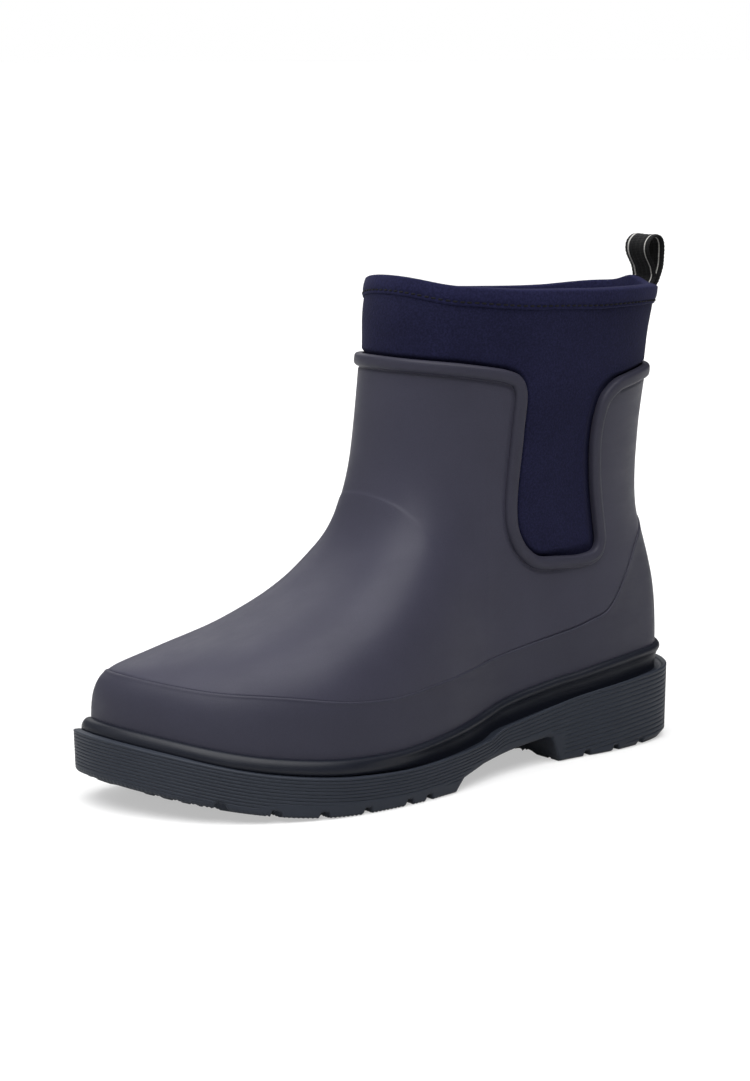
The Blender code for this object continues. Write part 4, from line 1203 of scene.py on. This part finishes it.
def scaled_rings(outline, shares, height):
    """Rings drawn in towards the middle of an outline, at the height that x and y give."""
    middle = outline.mean(0)
    flats = [middle + (outline - middle) * share for share in shares]
    return [np.c_[flat, height(*flat.T)] for flat in flats]


def tray_floor(x, y):
    floor = np.maximum(ground(y) + 0.0062, ground(y) + arch(y) + 0.0040)
    return np.minimum(floor, flange(y) - edge_drop(y) - 0.003)


def build_outsole():
    """Rings from the middle of the tray, over the edge and down the side, to the middle below."""
    y = SOLE[:, 1]
    top = flange(y) - edge_drop(y)
    plain = ground(y) + arch(y)
    run = np.r_[0, np.cumsum(np.linalg.norm(np.diff(SOLE, axis=0), axis=1))]
    whole = run[-1] + np.linalg.norm(SOLE[0] - SOLE[-1])
    turns = round(whole / SERRATION_PITCH)
    teeth = np.cos(2 * math.pi * run / whole * turns) * (1 - step_up((y + 0.030) / 0.02))
    bottom = plain + tread_grooves(y) * (1 - step_up(arch(y) / 0.003)) + SERRATION * (1 + teeth)
    edge_round = 0.0012 + 0.0016 * step_up((-0.09 - y) / 0.04) + 0.0014 * step_up((y - 0.10) / 0.03)
    foot = inset(SOLE, edge_round + WALL_LEAN)
    tray = inset(SOLE, TRAY_INSET)
    middle = SOLE.mean(0)
    rings = scaled_rings(tray, np.r_[0.02, np.linspace(0.10, 0.98, 16), 1.0], tray_floor)
    rings += ledge_rings(top) + wall_rings(top, plain, bottom, edge_round) + [np.c_[foot, bottom]]
    rings += scaled_rings(foot, np.r_[0.985, np.linspace(0.965, 0.05, 46), 0.02], sole_bottom)
    ends = [[*middle, ground(middle[1]) + 0.0062], [*middle, sole_bottom(middle[:1], middle[1:])[0]]]
    return stack("outsole_rubber", RUBBER_SOLE, rings, ends)


outsole = build_outsole()

# ---------------------------------------------------------------- footbed
FOOT_RING = inset(through(UPPER_FOOT, 320, closed=True), FOOTBED_INSET)


def cup(y, share):
    """Heel cup and arch support: the footbed's rise towards its edge."""
    heel = step_up((y - 0.02) / 0.05)
    side = step_up((share - 0.55) / 0.45)
    return (0.00072 + 0.00096 * heel) * side


def layer(name, slot, low, high, extra_inset, edge_bulge):
    """One sheet of the footbed between two heights over the flange, with a rounded edge."""
    outline = inset(FOOT_RING, extra_inset)
    middle = outline.mean(0)
    shares = np.r_[0.03, np.linspace(0.10, 0.98, 24)]
    rings = scaled_rings(outline, shares, lambda x, y: flange(y) + low)
    for angle in np.linspace(-0.5, 0.5, 9) * math.pi:
        flat = inset(outline, edge_bulge * (1 - math.cos(angle)))
        y = flat[:, 1]
        up = 0.5 + 0.5 * math.sin(angle)
        rings.append(np.c_[flat, flange(y) + low + (high - low) * up + cup(y, 1.0) * up])
    for share in shares[::-1]:
        rings += scaled_rings(outline, [share], lambda x, y: flange(y) + high + cup(y, share))
    ends = [[*middle, flange(middle[1]) + height] for height in (low, high)]
    return stack(name, slot, rings, ends)


footbed = layer("footbed_pad", FOOTBED_LOOK, 0.0031, 0.0067, 0.0, 0.0010)
cover = layer("footbed_cloth", COVER_LOOK, 0.0070, 0.0080, 0.0006, 0.0004)

# ---------------------------------------------------------------- pull loop
BACK_RIM = SKIN[-1, int(np.argmax(SKIN[-1, :, 1]))]
ROOT_Y = float(BACK_RIM[1]) + 0.0045
ROOT_Z = float(BACK_RIM[2]) + 0.0016
LOOP_WIDTH = 0.0155
# (y, z) from the root: up from the inner end, over the top, and down to the outer end.
LOOP_LINE = [
    (-0.0074, -0.0150), (-0.0070, -0.0112), (-0.0060, -0.0072), (-0.0040, -0.0036), (-0.0018, -0.0008),
    (-0.0010, 0.0014), (-0.0013, 0.0032), (-0.0019, 0.0056), (-0.0034, 0.0082), (-0.0048, 0.0107),
    (-0.0055, 0.0134), (-0.0050, 0.0161), (-0.0030, 0.0182), (-0.0007, 0.0189), (0.0014, 0.0183),
    (0.0027, 0.0161), (0.0030, 0.0134), (0.0029, 0.0104), (0.0028, 0.0079), (0.0024, 0.0053),
    (0.0017, 0.0031), (0.0010, 0.0014), (0.0000, -0.0008), (-0.0024, -0.0040), (-0.0046, -0.0076),
    (-0.0056, -0.0115), (-0.0060, -0.0150),
]


def build_loop():
    """A webbing strip along LOOP_LINE: ribbed face, slightly curled edges."""
    path = through(LOOP_LINE, 190) + (ROOT_Y, ROOT_Z)
    along = np.gradient(path, axis=0)
    along /= np.linalg.norm(along, axis=1)[:, None]
    across = np.c_[along[:, 1], -along[:, 0]]
    half = LOOP_WIDTH / 2
    share = np.linspace(-1, 1, 33)
    thick = WEB_THICKNESS / 2 * (1 + 0.10 * np.cos(share * 17)) * (1 - np.abs(share) ** 10) + 0.0001
    section = np.r_[np.c_[half * share, thick], np.c_[-half * share, -thick[::-1]]]
    edge = 1 - 0.012 * np.cos(np.arange(len(path)) * 1.6)
    bow = np.sin(np.linspace(0, math.pi, len(path)))
    rings = []
    for k, (spot, way) in enumerate(zip(path, across)):
        x = section[:, 0] * edge[k]
        off = section[:, 1] - 0.0005 * bow[k] * (x / half) ** 2
        rings.append(np.c_[LOOP_X + x, spot + way * off[:, None]])
    count, size = len(rings), len(section)
    j = np.arange(len(share) - 1)
    cap = np.stack([j, j + 1, size - 2 - j, size - 1 - j], -1)
    faces = np.concatenate([grid_quads(count, size), cap[:, ::-1], cap + (count - 1) * size])
    return make("webbing_loop", np.concatenate(rings), faces, WEBBING_LOOK)


loop = build_loop()

# ---------------------------------------------------------------- riding, slots, replaced nodes
PIECES = [
    (outsole, "boot", "rubber_sole", ["outsole"]),
    (welt, "boot", "rubber_welt", ["welt"]),
    (vamp, "boot", "rubber_slate", ["vamp"]),
    (leg, "boot", "rubber_slate", ["leg"]),
    (guard, "boot", "rubber_guard", ["guard"]),
    (binding, "boot", "rubber_binding", ["shaft_binding"]),
    (collar, "boot", "neoprene_navy", ["neoprene_collar"]),
    (hem, "boot", "hem_navy", ["collar_hem"]),
    (stitches, "boot", "thread_dark", ["hem_thread"]),
    (footbed, "footbed", "footbed_foam", ["footbed"]),
    (cover, "footbed", "cover_cloth", ["footbed_cover"]),
]
for piece, body, slot_name, nodes in PIECES:
    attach(piece, body)
    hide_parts(*nodes)
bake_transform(loop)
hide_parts("pull_loop", "loop_tab_outer", "loop_tab_inner")


# ---------------------------------------------------------------- floor, light, camera
FLOOR_HALF = 60.0
FLOOR_GREY = 0.50
# The floor's own light, as the camera sees it and as the boot gets it.
FLOOR_SEEN = 0.46
FLOOR_GLOW = 0.08
SUN_STRENGTH = 4.5
SUN_SPREAD = 72  # degrees
FRONT_BOX = ((-0.9, -1.6, 1.0), 1.4, 3.5)  # place, width and height, power
LEFT_BOX = ((-1.5, 0.5, 1.3), 1.8, 12)
WORLD_SEEN = 1.0
WORLD_LIT = 0.20
WORLD_BEHIND = 0.07


def plain_floor():
    corners = [(x * FLOOR_HALF, y * FLOOR_HALF, 0.0) for x, y in ((-1, -1), (1, -1), (1, 1), (-1, 1))]
    mesh = bpy.data.meshes.new("floor")
    mesh.from_pydata(corners, [], [(0, 1, 2, 3)])
    slot = bpy.data.materials.new("floor_look")
    slot.use_nodes = True
    shader = slot.node_tree.nodes["Principled BSDF"]
    shader.inputs["Base Color"].default_value = (*grey(FLOOR_GREY), 1.0)
    shader.inputs["Roughness"].default_value = 0.9
    shader.inputs["Emission Color"].default_value = (1.0, 1.0, 1.0, 1.0)
    path = slot.node_tree.nodes.new("ShaderNodeLightPath")
    glow = spread_value(slot.node_tree, path.outputs["Is Camera Ray"], FLOOR_GLOW, FLOOR_SEEN, 0.0, 1.0)
    slot.node_tree.links.new(glow, shader.inputs["Emission Strength"])
    mesh.materials.append(slot)
    floor = bpy.data.objects.new("floor", mesh)
    bpy.context.scene.collection.objects.link(floor)


def hang(name, light, place, way):
    lamp = bpy.data.objects.new(name, light)
    lamp.location = place
    lamp.rotation_euler = Vector(way).to_track_quat("-Z", "Y").to_euler()
    bpy.context.scene.collection.objects.link(lamp)


def soft_box(name, place, size, power, target):
    light = bpy.data.lights.new(name, "AREA")
    light.size = size
    light.energy = power
    hang(name, light, place, Vector(target) - Vector(place))


def soft_sun(way):
    sun = bpy.data.lights.new("soft_sun", "SUN")
    sun.energy = SUN_STRENGTH
    sun.angle = math.radians(SUN_SPREAD)
    hang("soft_sun", sun, (0.0, 0.0, 1.0), way)


def studio_world():
    """White where the camera sees past the floor. It lights the boot less, and least from behind the heel."""
    world = bpy.data.worlds.new("studio")
    world.use_nodes = True
    tree = world.node_tree
    place = tree.nodes.new("ShaderNodeTexCoord")
    split = tree.nodes.new("ShaderNodeSeparateXYZ")
    tree.links.new(place.outputs["Generated"], split.inputs[0])
    side = spread_value(tree, split.outputs["Y"], WORLD_LIT, WORLD_BEHIND, -0.4, 0.7)
    path = tree.nodes.new("ShaderNodeLightPath")
    strength = tree.nodes.new("ShaderNodeMapRange")
    strength.inputs["To Max"].default_value = WORLD_SEEN
    tree.links.new(side, strength.inputs["To Min"])
    tree.links.new(path.outputs["Is Camera Ray"], strength.inputs["Value"])
    background = tree.nodes["Background"]
    background.inputs["Color"].default_value = (1.0, 1.0, 1.0, 1.0)
    tree.links.new(strength.outputs["Result"], background.inputs["Strength"])
    bpy.context.scene.world = world


plain_floor()
soft_sun((-0.22, 0.22, -1.0))
soft_box("front_box", *FRONT_BOX, target=(0, 0, 0.10))
soft_box("left_box", *LEFT_BOX, target=(0, -0.05, 0.10))
studio_world()
bpy.context.scene.view_settings.view_transform = "Standard"

VIEW_ANGLE = 0.91073  # radians round from the toe towards the outer side
VIEW_DISTANCE = 1.25345
VIEW_HEIGHT = 0.30592
AIM_Y = -0.01071
AIM_Z = 0.10004
camera = bpy.data.cameras.new("camera")
camera.lens = 98.91
camera.sensor_width = 36.0
camera.clip_start = 0.05
holder = bpy.data.objects.new("camera", camera)
eye = Vector((math.sin(VIEW_ANGLE), -math.cos(VIEW_ANGLE), 0.0)) * VIEW_DISTANCE
eye += Vector((-CENTRE_X, 0.0, VIEW_HEIGHT))
aim = Vector((-CENTRE_X, AIM_Y, AIM_Z))
holder.location = eye
holder.rotation_euler = (aim - eye).to_track_quat("-Z", "Y").to_euler()
bpy.context.scene.collection.objects.link(holder)
bpy.context.scene.camera = holder
